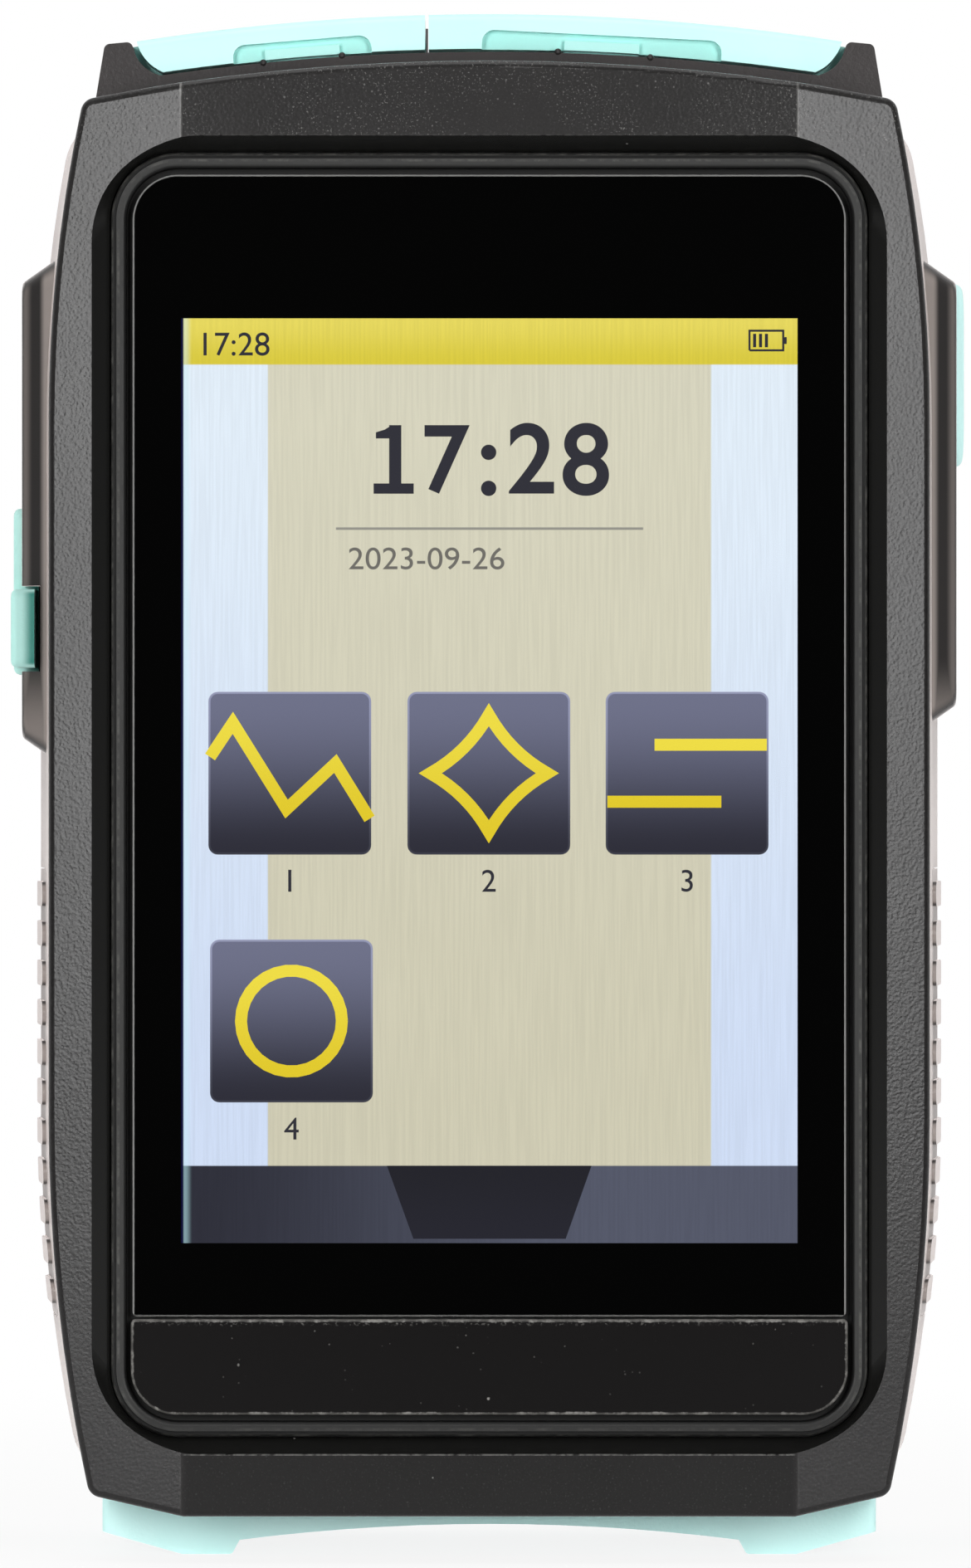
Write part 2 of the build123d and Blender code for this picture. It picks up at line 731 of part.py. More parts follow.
def port_parts():
    keyway = block((otdr_x - port_key_width / 2, otdr_x + port_key_width / 2),
                   (port_y - 2 * port_barrel_radius, port_y - ferrule_radius - 1.2),
                   (port_top_z - 3.2, port_top_z + 1))
    parts["otdr_port"] = port(otdr_x, port_barrel_radius) - keyway
    parts["power_meter_port"] = port(meter_x, port_nose_radius)
    parts["fault_locator_port"] = port(locator_x, port_nose_radius)
    top = tub_bottom_z - 0.01
    boot = rod_z(otdr_x, port_y, port_tail_radius + 0.8, tub_bottom_z - boot_length, top)
    parts["port_boot"] = chamfer(boot.faces().sort_by(Axis.Z)[0].edges(), 1.2)
    can = rod_z(meter_x, port_y, port_tail_radius + 1.1, tub_bottom_z - detector_length, top)
    can += rod_z(meter_x, port_y, port_tail_radius + 1.9, tub_bottom_z - 1.5, top)
    parts["power_meter_detector"] = can
    laser = rod_z(locator_x, port_y, port_tail_radius + 0.6, tub_bottom_z - laser_length, top)
    parts["fault_locator_laser"] = chamfer(laser.faces().sort_by(Axis.Z)[0].edges(), 0.8)


def guard(low):
    # raised guard on the right-hand wall, its ends drafted into the wall
    mid = ((guard_front_y + guard_back_y) / 2, (low + guard_high) / 2)
    depth = guard_back_y - guard_front_y
    height = guard_high - low
    root = Pos(*mid) * RectangleRounded(depth + 1.2, height + 1, 2.2)
    crest = Pos(*mid) * RectangleRounded(depth - 0.6, height - 2 * guard_draft, 1.6)
    root_x = case_half_width - 1.2
    body = loft([Plane.YZ.offset(root_x) * root, Plane.YZ.offset(guard_half) * crest], ruled=True)
    return fillet(body.faces().sort_by(Axis.X)[-1].edges(), 0.5)


def rear_housing():
    outer = housing_body(0)
    outer += guard(guard_low_right)
    outer += mirror(guard(guard_low_left), Plane.YZ)
    cavity = housing_body(-wall)
    mouth = bowed_outline(parting_step - wall, -wall, housing_bottom_z, housing_top_z, 0, 2.0)
    cavity += along_y(mouth, part_y - 1, part_y + 0.05)
    body = outer - cavity
    body += along_x(stadium(side_y, key_mid_z, key_width + 5, key_height + 4), key_seat, case_half_width)
    body = cut_top_opening(body)
    body = cut_side_openings(body)
    body = add_posts(body)
    body = cut_back(body)
    return cut_grips(body)


def cut_top_opening(body):
    half = tub_half + joint_play
    return body - block((-half, half), (part_y - 1, frame_back_y + joint_play),
                        (housing_top_z - wall - 5, housing_top_z + 5))


def cut_side_openings(body):
    front = flap_front_y - side_play
    back = flap_back_y + 2 * flap_bead + 0.2
    pocket = Pos((front + back) / 2, flap_mid_z)
    pocket *= RectangleRounded(back - front, flap_height + 2 * side_play, 0.8)
    body -= along_x(pocket, -side_half - 5, -pocket_half)
    body -= block((-side_half - 5, -pocket_half - 0.05), (guard_front_y - 5, front + 1),
                  (tab_low - side_play, tab_low + flap_tab_height + side_play))
    slot = stadium(side_y, flap_mid_z, socket_width + 2 * slot_play, socket_height + 2 * slot_play)
    body -= along_x(slot, -side_half, -socket_mouth + 4)
    hole = stadium(side_y, key_mid_z, key_width + 2 * side_play, key_height + 2 * side_play)
    return body - along_x(hole, key_seat - 2, side_half + 2)


def add_posts(body):
    for x, z in case_screw_places:
        body += both_sides(rod_y(x, z, post_radius, case_post_y, inner_back_y + 0.1))
    body += both_sides(rod_y(top_screw_x, top_screw_z, post_radius, frame_back_y + joint_play,
                             inner_back_y + 0.1))
    for x, z in charge_screw_places():
        body += rod_y(x, z, boss_radius, charge_board_back_y, inner_back_y + 0.1)
        body -= rod_y(x, z, small_screw_radius + screw_play, charge_board_y,
                      charge_board_y + charge_screw_length + 1)
    for z in (key_mid_z - 4, key_mid_z + 1.5):
        body += block((key_board_x - 1.5, key_board_x), (side_y - 1, inner_back_y + 0.1), (z - 1, z + 1))
    floor_z = housing_bottom_z + wall
    for x in (-foot_mid, foot_mid):
        body += rod_z(x, foot_mid_y, post_radius, floor_z - 0.1, floor_z + 3)
        body -= rod_z(x, foot_mid_y, small_screw_radius + screw_play, housing_bottom_z - 1, floor_z + 2.8)
    return body


def cut_back(body):
    for x, z in case_screw_places:
        body -= both_sides(rod_y(x, z, case_screw_radius + pass_play, case_post_y - 5, back_y))
        body -= both_sides(rod_y(x, z, case_head_radius + pass_play, case_head_y, back_y + 1))
    body -= both_sides(rod_y(top_screw_x, top_screw_z, case_screw_radius + pass_play, frame_back_y, back_y))
    body -= both_sides(rod_y(top_screw_x, top_screw_z, case_head_radius + pass_play, top_head_y, back_y + 1))
    for step in range(-2, 3):
        vent = Pos(0, speaker_z + vent_pitch * step) * SlotOverall(vent_width, vent_height)
        body -= along_y(vent, inner_back_y - 0.1, back_y + 1)
    return body


def grip_shape(extra):
    mid_z = grip_low + grip_height / 2
    return Pos(side_y, mid_z) * RectangleRounded(grip_depth + 2 * extra, grip_height + 2 * extra, 2.5)


def cut_grips(body):
    skin = housing_body(1.0) - housing_body(-grip_inset)
    seat = along_x(grip_shape(joint_play), 0, side_half + 5)
    return body - both_sides(skin & seat)


def grip():
    skin = housing_body(0) - housing_body(-grip_inset)
    pad = skin & along_x(grip_shape(0), 0, side_half + 5)
    ridge_skin = housing_body(rib_rise) - housing_body(-0.2)
    pitch = (grip_height - 4) / (rib_count - 1)
    for index in range(rib_count):
        bar = Pos(side_y, grip_low + 2 + pitch * index) * SlotOverall(grip_depth - 2, rib_width)
        rib = ridge_skin & along_x(bar, 0, side_half + 5)
        crest = rib.faces().sort_by(Axis.X)[-1]
        pad += fillet(crest.edges(), rib_round)
    return pad


def bumper():
    slope = bottom_corner_rise / (bottom_corner_half - bottom_flat_half)
    end_z = housing_bottom_z + slope * (foot_half - bottom_flat_half) * 0.8
    arch_half = foot_in_half - 0.6
    side = [
        Line((bottom_flat_half, housing_bottom_z), (foot_half, end_z)),
        Line((foot_half, end_z), (foot_half, foot_end_z)),
        Line((foot_half, foot_end_z), (foot_out_half, 0)),
        Line((foot_out_half, 0), (foot_in_half, 0)),
        Line((foot_in_half, 0), (arch_half, arch_end_z)),
    ]
    edges = side + [mirror(edge, Plane.YZ) for edge in side]
    edges.append(ThreePointArc((-arch_half, arch_end_z), (0, arch_z), (arch_half, arch_end_z)))
    edges.append(Line((-bottom_flat_half, housing_bottom_z), (bottom_flat_half, housing_bottom_z)))
    body = along_y(make_face(Curve() + edges), foot_front_y, foot_back_y)
    body = fillet(body.edges().filter_by(Axis.Y).group_by(Axis.Z)[0], 0.4)
    body = fillet(body.edges().filter_by(Axis.Z).group_by(SortBy.LENGTH)[-1], 0.6)
    for x in (-foot_mid, foot_mid):
        body -= rod_z(x, foot_mid_y, small_screw_radius + pass_play, -1, housing_bottom_z + 1)
        body -= rod_z(x, foot_mid_y, small_head_radius + pass_play, -1, foot_head_z)
    return body


def port_cover():
    inner = side_half - flap_thickness
    back = flap_back_y - side_play
    plate = Pos((flap_front_y + back) / 2, flap_mid_z)
    plate *= RectangleRounded(back - flap_front_y, flap_height, 1.0)
    body = along_x(plate, -side_half, -inner)
    tab = block((-side_half, -inner - 0.15), (guard_front_y - flap_tab_reach, flap_front_y + 2),
                (tab_low, tab_low + flap_tab_height))
    body += fillet(tab.edges().filter_by(Axis.X).group_by(Axis.Y)[0], 0.8)
    body = fillet(body.faces().sort_by(Axis.X)[0].edges(), 0.5)
    heights = (flap_low + 1, flap_high - 1)
    bead = rod_z(-flap_pin_half, flap_pin_y, flap_bead, *heights)
    neck = block((-flap_pin_half - flap_bead + 0.2, -inner), (back - 1, flap_pin_y), heights)
    plug = stadium(side_y, flap_mid_z, socket_width - 0.5, socket_height - 0.5)
    return body + neck + bead + along_x(plug, -inner - 0.1, -inner + 1.1)


def power_key():
    flange_x = key_seat - pass_play
    cap = along_x(stadium(side_y, key_mid_z, key_width, key_height), flange_x - 0.2, side_half)
    cap = fillet(cap.faces().sort_by(Axis.X)[-1].edges(), 0.6)
    collar = stadium(side_y, key_mid_z, key_width + 2 * key_flange, key_height + 2 * key_flange)
    return cap + along_x(collar, flange_x - key_flange_thickness, flange_x)


def charge_screw_places():
    x = charge_board_width / 2 + socket_inset - socket_mouth + 0.5
    reach = charge_board_height / 2 - 2
    return [(x, flap_mid_z - reach), (x, flap_mid_z + reach)]


def electrics():
    mouth = -socket_mouth
    end = mouth + socket_depth
    socket = along_x(stadium(side_y, flap_mid_z, socket_width, socket_height), mouth, end)
    hollow = stadium(side_y, flap_mid_z, socket_width - 0.6, socket_height - 0.6)
    socket -= along_x(hollow, mouth - 1, end - 0.8)
    tongue = socket_height / 2 - 1.2
    socket += block((mouth + 0.6, end - 0.5), (side_y - 0.35, side_y + 0.35),
                    (flap_mid_z - tongue, flap_mid_z + tongue))
    parts["charge_socket"] = socket
    half = charge_board_height / 2
    board = block((mouth + socket_inset, mouth + socket_inset + charge_board_width),
                  (charge_board_y, charge_board_back_y), (flap_mid_z - half, flap_mid_z + half))
    for x, z in charge_screw_places():
        board -= rod_y(x, z, small_screw_radius + pass_play, charge_board_y - 1, charge_board_back_y + 1)
    parts["charge_board"] = board
    parts["charge_board_screws"] = group([
        small_screw(x, z, charge_board_y, charge_board_y + charge_screw_length)
        for x, z in charge_screw_places()
    ])
    switch_parts()
    speaker = rod_y(0, speaker_z, speaker_radius, inner_back_y - speaker_depth, inner_back_y)
    speaker -= rod_y(0, speaker_z, speaker_radius - 1, inner_back_y - 0.8, inner_back_y + 1)
    parts["speaker"] = chamfer(speaker.faces().sort_by(Axis.Y)[0].edges(), 0.6)
    pack = block((-battery_half, battery_half), (inner_back_y - battery_depth, inner_back_y),
                 (battery_low, battery_high))
    parts["battery_pack"] = fillet(pack.edges().filter_by(Axis.Z), battery_round)


def switch_parts():
    face = key_board_x + small_board_thickness
    half = switch_side / 2
    mid_z = key_mid_z - 1
    parts["key_board"] = block((key_board_x, face), (side_y - half - 1, side_y + half + 1),
                               (mid_z - half - 2, mid_z + half + 1.5))
    switch = block((face, face + switch_height), (side_y - half, side_y + half), (mid_z - half, mid_z + half))
    switch = fillet(switch.edges().filter_by(Axis.X), 0.5)
    switch += rod_x(side_y, mid_z, half - 1.4, face, face + switch_height + switch_plunger)
    parts["power_switch"] = switch


def fasteners():
    parts["case_screws"] = group([
        screw_along_y(side * x, z, case_screw_radius, case_head_radius, case_head_y, cavity_y + 0.4)
        for side in (-1, 1) for x, z in case_screw_places
    ])
    parts["top_frame_screws"] = group([
        screw_along_y(x, top_screw_z, case_screw_radius, case_head_radius, top_head_y, bay_back_y + 0.8)
        for x in (-top_screw_x, top_screw_x)
    ])
    foot_screws = []
    for x in (-foot_mid, foot_mid):
        shank = rod_z(x, foot_mid_y, small_screw_radius, foot_head_z - 0.1, housing_bottom_z + wall + 2.6)
        head = rod_z(x, foot_mid_y, small_head_radius, foot_head_z - head_height, foot_head_z)
        foot_screws.append(head + shank)
    parts["foot_screws"] = group(foot_screws)
    parts["hinge_pins"] = group([
        rod_x(hinge_y, hinge_z, pin_radius, x0 + lug_inset - pass_play, x1 - lug_inset + pass_play)
        for x0, x1 in cover_ranges()
    ])


parts["front_bezel"] = bezel()
screen_parts()
parts["inner_frame"] = inner_frame()
board_parts()
optics()
parts["top_frame"] = top_frame()
left_range, right_range = cover_ranges()
parts["left_top_cover"] = top_cover(*left_range, recess_left_out - cover_half, cover_split_x - recess_in)
parts["right_top_cover"] = top_cover(*right_range, cover_split_x + recess_in, cover_half - recess_right_out)
port_parts()
parts["rear_housing"] = rear_housing()
seal = bezel_outline(-case_seal_in) - bezel_outline(-case_seal_in - case_seal_width)
parts["case_seal"] = along_y(seal, part_y - case_seal_depth, part_y)
right_grip = grip()
parts["right_grip"] = right_grip
parts["left_grip"] = mirror(right_grip, Plane.YZ)
parts["bottom_bumper"] = bumper()
parts["port_cover"] = port_cover()
parts["power_key"] = power_key()
electrics()
fasteners()

os.makedirs("parts", exist_ok=True)
for name, shape in parts.items():
    export_step(shape, f"parts/{name}.step")
    print(name, len(shape.solids()), round(shape.volume, 2))
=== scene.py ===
"""Looks of a pocket optical time domain reflectometer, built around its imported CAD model.

Finishes are procedural, the lit screen and the small fittings are meshes that ride on the case,
and the studio has a pale floor, soft lamps and a level camera in front of the screen.
"""

import logging
import math
from dataclasses import dataclass, replace
from enum import Enum
from typing import Any, ClassVar, Iterable, Sequence, Union

import bmesh
import bpy
from mathutils import Matrix, Vector


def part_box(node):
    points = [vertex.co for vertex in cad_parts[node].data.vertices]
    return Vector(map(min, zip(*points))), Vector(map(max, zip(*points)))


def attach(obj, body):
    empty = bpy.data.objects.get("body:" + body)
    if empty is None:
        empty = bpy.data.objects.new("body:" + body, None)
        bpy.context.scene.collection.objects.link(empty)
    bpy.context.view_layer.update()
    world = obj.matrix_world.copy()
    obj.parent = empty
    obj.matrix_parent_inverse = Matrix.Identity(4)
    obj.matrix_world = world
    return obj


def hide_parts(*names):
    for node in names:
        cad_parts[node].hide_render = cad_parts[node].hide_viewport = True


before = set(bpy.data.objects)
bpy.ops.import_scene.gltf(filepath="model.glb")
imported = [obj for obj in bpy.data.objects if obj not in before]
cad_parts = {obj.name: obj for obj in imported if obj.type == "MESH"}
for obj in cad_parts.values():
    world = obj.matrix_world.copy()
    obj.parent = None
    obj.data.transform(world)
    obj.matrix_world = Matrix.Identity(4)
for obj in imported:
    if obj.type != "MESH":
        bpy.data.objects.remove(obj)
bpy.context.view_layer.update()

log = logging.getLogger("reflectometer")

MM = 0.001
TURN = 2 * math.pi
Colour = tuple[float, float, float, float]
Point = tuple[float, float]
Range = tuple[float, float]
Sizes = tuple[float, ...]
Points = tuple[Point, ...]
WHITE: Colour = (1.0, 1.0, 1.0, 1.0)
BLACK: Colour = (0.0, 0.0, 0.0, 1.0)
CASE_BODY = "case"


def paint(red: float, green: float, blue: float) -> Colour:
    """Turn a colour as seen on a screen into the linear colour that nodes use.

    Args:
        red: Red, from 0 to 255.
        green: Green, from 0 to 255.
        blue: Blue, from 0 to 255.

    Returns:
        The linear colour with full alpha.
    """
    def linear(part: float) -> float:
        """Undo the screen's curve for one channel."""
        share = part / 255
        return share / 12.92 if share <= 0.04045 else ((share + 0.055) / 1.055) ** 2.4

    return (linear(red), linear(green), linear(blue), 1.0)


def scaled(colour: Colour, share: float) -> Colour:
    """Make a colour lighter or darker by a share."""
    return (colour[0] * share, colour[1] * share, colour[2] * share, 1.0)


def mm(*sizes: float) -> Sizes:
    """Turn millimetres into metres."""
    return tuple(size * MM for size in sizes)


class Slot(Enum):
    """Names of material slots, passed with added pieces but not used."""

    DISPLAY = "display"
    CASE = "case_black"
    SCREW = "screw_steel"
    PORT = "port_nickel"


@dataclass(frozen=True)
class Outline:
    """An upright rounded outline round the middle of the object, in metres.

    Attributes:
        half: Half its width.
        low: Height of its lower edge.
        high: Height of its upper edge.
        corner: Radius of its corners.
    """

    half: float
    low: float
    high: float
    corner: float

    @classmethod
    def of(cls, node: str, corner: float) -> "Outline":
        """Take the outline of a CAD node, with the radius of its corners."""
        low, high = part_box(node)
        return cls((high.x - low.x) / 2, low.z, high.z, corner)

    @property
    def middle(self) -> float:
        """Height of its middle."""
        return (self.low + self.high) / 2

    @property
    def rise(self) -> float:
        """Half its height."""
        return (self.high - self.low) / 2


# Shader maths

@dataclass(frozen=True)
class Value:
    """A node's output that Python operators can work on.

    Attributes:
        sheet: The node sheet that the output belongs to.
        socket: The output socket.
    """

    sheet: "NodeSheet"
    socket: bpy.types.NodeSocket

    def __add__(self, other: "Operand") -> "Value":
        """Add two numbers."""
        return self.sheet.math("ADD", self, other)

    def __radd__(self, other: "Operand") -> "Value":
        """Add two numbers, this one second."""
        return self.sheet.math("ADD", other, self)

    def __sub__(self, other: "Operand") -> "Value":
        """Take the other number from this one."""
        return self.sheet.math("SUBTRACT", self, other)

    def __rsub__(self, other: "Operand") -> "Value":
        """Take this number from the other one."""
        return self.sheet.math("SUBTRACT", other, self)

    def __mul__(self, other: "Operand") -> "Value":
        """Multiply two numbers."""
        return self.sheet.math("MULTIPLY", self, other)

    def __rmul__(self, other: "Operand") -> "Value":
        """Multiply two numbers, this one second."""
        return self.sheet.math("MULTIPLY", other, self)

    def __truediv__(self, other: "Operand") -> "Value":
        """Divide this number by the other one."""
        return self.sheet.math("DIVIDE", self, other)

    def __neg__(self) -> "Value":
        """Turn the sign round."""
        return self.sheet.math("MULTIPLY", self, -1.0)

    def __abs__(self) -> "Value":
        """Drop the sign."""
        return self.sheet.math("ABSOLUTE", self)

    def most(self, other: "Operand") -> "Value":
        """Keep the larger of two numbers."""
        return self.sheet.math("MAXIMUM", self, other)

    def least(self, other: "Operand") -> "Value":
        """Keep the smaller of two numbers."""
        return self.sheet.math("MINIMUM", self, other)

    def sign(self) -> "Value":
        """Give 1, 0 or -1 by the number's sign."""
        return self.sheet.math("SIGN", self)

    def rise(self, low: float, high: float) -> "Value":
        """Climb smoothly from 0 at low to 1 at high; high is below low for a fall."""
        limits = {"Value": self, "From Min": low, "From Max": high}
        return self.sheet.node("ShaderNodeMapRange", {"interpolation_type": "SMOOTHSTEP"}, limits)


Operand = Union[Value, float]
SocketValue = Union[Value, float, Sequence[float]]


class NodeSheet:
    """The node tree of one material or world, with short ways to fill it."""

    GLOW = 1.07

    def __init__(self, tree: bpy.types.NodeTree) -> None:
        """Start from an emptied tree."""
        self.tree = tree
        self.tree.nodes.clear()

    def node(self, kind: str, settings: dict[str, Any] | None = None,
             sockets: dict[Any, SocketValue] | None = None, output: int | str = 0) -> Value:
        """Add a node, set it up and join its inputs.

        Args:
            kind: The node's type.
            settings: Its own settings, set first.
            sockets: Values or links of its inputs, by name or place.
            output: The output to hand back, by name or place.

        Returns:
            The chosen output.
        """
        made = self.tree.nodes.new(kind)
        for name, setting in (settings or {}).items():
            setattr(made, name, setting)
        for key, value in (sockets or {}).items():
            if isinstance(value, Value):
                self.tree.links.new(value.socket, made.inputs[key])
            else:
                made.inputs[key].default_value = value
        return Value(self, made.outputs[output])

    def math(self, operation: str, *operands: Operand) -> Value:
        """Add a Math node for one operation."""
        return self.node("ShaderNodeMath", {"operation": operation}, dict(enumerate(operands)))

    def place(self) -> tuple[Value, Value, Value]:
        """Give the three coordinates of the shaded point, in metres."""
        return self.split(self.point())

    def point(self) -> Value:
        """Give the shaded point's place on its object."""
        return self.node("ShaderNodeTexCoord", output="Object")

    def normal(self) -> Value:
        """Give the direction that the shaded face looks in."""
        return self.node("ShaderNodeNewGeometry", output="Normal")

    def ray(self, kind: str) -> Value:
        """Give 1 on rays of one kind, as the node names it, and 0 on others."""
        return self.node("ShaderNodeLightPath", output=f"Is {kind} Ray")

    def split(self, vector: Value) -> tuple[Value, Value, Value]:
        """Part a vector into its x, y and z."""
        parts = self.node("ShaderNodeSeparateXYZ", sockets={0: vector}).socket.node.outputs
        return tuple(Value(self, part) for part in parts)

    def noise(self, size: float, detail: float = 2.0, harshness: float = 0.5,
              stretch: Sequence[float] | None = None) -> Value:
        """Give soft noise from 0 to 1.

        Args:
            size: Width of its blotches, in metres.
            detail: How many finer layers it has.
            harshness: How strong those layers are.
            stretch: How it is drawn out along x, y and z, by shares of its rate.

        Returns:
            The noise.
        """
        where = self.point()
        if stretch is not None:
            drawn = {0: where, 1: stretch}
            where = self.node("ShaderNodeVectorMath", {"operation": "MULTIPLY"}, drawn)
        sockets = {"Vector": where, "Scale": 1 / size, "Detail": detail, "Roughness": harshness}
        return self.node("ShaderNodeTexNoise", sockets=sockets)

    def cells(self, size: float, feature: str = "F1", output: str = "Distance") -> Value:
        """Give a pattern of cells, by their width in metres and the feature that is measured."""
        sockets = {"Vector": self.point(), "Scale": 1 / size, "Randomness": 1.0}
        return self.node("ShaderNodeTexVoronoi", {"feature": feature}, sockets, output)

    def specks(self, size: float, share: float, width: float) -> Value:
        """Give scattered ragged specks, such as dust.

        Args:
            size: Mean distance between their places, in metres.
            share: Share of the places that has a speck.
            width: Width of a speck, in metres.

        Returns:
            1 in a speck and 0 elsewhere.
        """
        reach = width / 2 / size
        ragged = self.noise(width * 0.7) * reach
        near = (self.cells(size) + ragged).rise(reach * 1.9, reach * 1.2)
        shade = self.split(self.cells(size, output="Color"))[0]
        return near * shade.rise(1 - share, 1 - share + 0.02)

    def inset(self, outline: Outline) -> Value:
        """Give the distance from an outline, in metres and positive inside.

        Args:
            outline: The outline.

        Returns:
            The distance.
        """
        x, _, z = self.place()
        radius = outline.corner
        across = abs(x) - (outline.half - radius)
        up = abs(z - outline.middle) - (outline.rise - radius)
        wide, tall = across.most(0.0), up.most(0.0)
        corner = self.math("SQRT", wide * wide + tall * tall)
        return radius - corner - across.most(up).least(0.0)

    def blend(self, factor: Operand, first: SocketValue, second: SocketValue) -> Value:
        """Mix two colours, the first alone at a factor of 0 and the second at 1."""
        sockets = {0: factor, 6: first, 7: second}
        return self.node("ShaderNodeMix", {"data_type": "RGBA"}, sockets, 2)

    def bump(self, height: Value, depth: float, strength: float = 1.0) -> Value:
        """Turn a height from 0 to 1 into a normal, by the depth in metres that 1 stands for."""
        sockets = {"Height": height, "Distance": depth, "Strength": strength}
        return self.node("ShaderNodeBump", sockets=sockets)

    def shader(self, **sockets: SocketValue) -> Value:
        """Add one principled shader, its inputs named with underscores for spaces."""
        named = {name.replace("_", " "): value for name, value in sockets.items()}
        return self.node("ShaderNodeBsdfPrincipled", sockets=named)

    def surface(self, **sockets: SocketValue) -> None:
        """Close the tree with one principled shader."""
        self.close(self.shader(**sockets))

    def lit(self, tone: Value) -> None:
        """Close the tree with a dull shader that glows in a colour."""
        self.surface(Base_Color=BLACK, Roughness=0.9, Specular_IOR_Level=0.0,
                     Emission_Color=tone, Emission_Strength=self.GLOW)

    def close(self, shader: Value, kind: str = "ShaderNodeOutputMaterial") -> None:
        """Join a shader to the tree's output, a node of the given type."""
        output = self.tree.nodes.new(kind)
        self.tree.links.new(shader.socket, output.inputs["Surface"])


# Finishes

@dataclass(frozen=True)
class Finish:
    """A finish that makes its material once.

    Attributes:
        name: Name of the material.
    """

    name: str

    def material(self) -> bpy.types.Material:
        """Give the finish's material, made at the first call.

        Returns:
            The material.
        """
        title = f"{self.name}_finish"
        known = bpy.data.materials.get(title)
        if known is not None:
            return known
        made = bpy.data.materials.new(title)
        made.use_nodes = True
        self.fill(NodeSheet(made.node_tree))
        return made

    def dress(self, *nodes: str) -> None:
        """Give the finish to CAD nodes.

        Args:
            nodes: Names of the nodes.
        """
        for name in nodes:
            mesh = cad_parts[name].data
            mesh.materials.clear()
            mesh.materials.append(self.material())
            log.info("dressed %s in %s", name, self.name)

    def fill(self, sheet: NodeSheet) -> None:
        """Fill the material's empty node sheet, which each finish does in its own way."""
        raise NotImplementedError


@dataclass(frozen=True)
class GrainedBezel(Finish):
    """Black moulded plastic with a leather-like grain, smooth inside the screen's border.

    Attributes:
        colour: Colour of the grained faces.
        smooth: Colour of the smooth border, also used for the painted shade at the chin.
        worn: Colour of rubbed edges and dust, also used for the painted highlights and the painted
            light on the upper part.
        grain: Width of a grain cell, in metres.
        depth: Depth of the grain, in metres.
        ridge: Distance of the two upright ridges from the middle, in metres.
        seat: Outline of the screen's seat.
        seat_y: Depth of that seat, as its y in metres.
        lip: Distance of the border's front edges above and below the middle, in metres.
    """

    colour: Colour
    smooth: Colour
    worn: Colour
    grain: float
    depth: float
    ridge: float
    seat: Outline
    seat_y: float
    lip: float

    # Heights above the middle where the upper part and the head start and are full,
    # and depths below it where the grain fades and the chin gets painted shade
    UPPER: ClassVar[Range] = mm(20, 45)
    HEAD: ClassVar[Range] = mm(50, 52)
    FADE: ClassVar[Range] = mm(20, 52)
    CHIN: ClassVar[Range] = mm(46, 52)
    # Distances from an edge where its painted highlight line, broken by rubbing, starts and is full
    RIDGE_LINE: ClassVar[Range] = mm(0.16, 0.03)
    LIP_LINE: ClassVar[Range] = mm(0.09, 0.02)

    def fill(self, sheet: NodeSheet) -> None:
        """Fill the material's nodes.

        Args:
            sheet: The empty node sheet.
        """
        x, y, z = sheet.place()
        above, below = z - self.seat.middle, self.seat.middle - z
        across, _, up = sheet.split(sheet.normal())
        border = (-(across * x.sign())).most(-(up * above.sign())).rise(0.12, 0.3)
        outside = 1 - border
        inside = (self.ridge - abs(x)).rise(0.0, 0.6 * MM)
        upper, head = above.rise(*self.UPPER), above.rise(*self.HEAD)
        well = sheet.inset(self.seat).rise(-0.15 * MM, 0.0)
        well = well * y.rise(self.seat_y - 0.6 * MM, self.seat_y - 0.2 * MM)

        # Painted highlights along the ridges and the border's front edges, broken by scuffs and
        # chips; dust; and painted light on the upper part
        scuffs = sheet.noise(1.6 * MM, 4.0, 0.65).rise(0.46, 0.72)
        # painted highlight along the ridges, brighter on the upper part where more light falls,
        # broken by rubbed scuffs
        edge = abs(abs(x) - self.ridge).rise(*self.RIDGE_LINE) * outside * (0.1 + 0.9 * upper)
        chips = sheet.noise(0.5 * MM, 4.0, 0.7).rise(0.32, 0.62)
        # painted highlight along the border's front edges, stronger low down, broken by chips
        lip = abs(abs(above) - self.lip).rise(*self.LIP_LINE) * inside * (0.4 - 0.28 * upper)
        patches = sheet.noise(5 * MM).rise(0.35, 0.65)
        powder = sheet.noise(0.17 * MM, 2.0, 0.6).rise(0.58, 0.74)
        powder = powder * (0.05 + 0.36 * head * patches)
        coarse = sheet.specks(2.2 * MM, 0.06, 0.16 * MM) * 0.5
        fine = sheet.specks(0.7 * MM, 0.3, 0.14 * MM) * outside * (0.05 + 0.2 * head)
        dust = coarse.most(fine).most(powder * outside)
        # painted light: the upper part is lightened as if more strongly lit
        painted_top_light = upper * 0.022 * outside
        # the worn colour carries the painted highlights and painted top light as well as dust
        wear = (edge * (0.22 + 0.35 * scuffs)).most(lip * chips).most(dust + painted_top_light) * (1 - well)

        # Grain and colour
        cells = sheet.cells(self.grain, "SMOOTH_F1").rise(0.1, 0.75)
        pores = sheet.noise(self.grain * 0.8, 3.0, 0.6)
        height = (cells * 0.5 + pores * 0.7) * (0.05 + 0.95 * outside)
        height = height * (1 - 0.6 * below.rise(*self.FADE))
        blotch = sheet.noise(14 * MM, 3.0)
        paler = blotch * 0.3 + pores.rise(0.3, 0.8) * 0.6
        tone = sheet.blend(paler, self.colour, scaled(self.colour, 1.8))
        tone = sheet.blend(border.most(well), tone, self.smooth)
        # painted shade: the chin is darkened as if less lit
        tone = sheet.blend(below.rise(*self.CHIN) * inside * 0.6, tone, self.smooth)
        tone = sheet.blend(wear, tone, self.worn)
        rough = 0.22 + blotch * 0.06 + dust * 0.25 + well * 0.4
        sheet.surface(Base_Color=tone, Roughness=rough, Specular_IOR_Level=0.24,
                      Normal=sheet.bump(height, self.depth, 0.8))


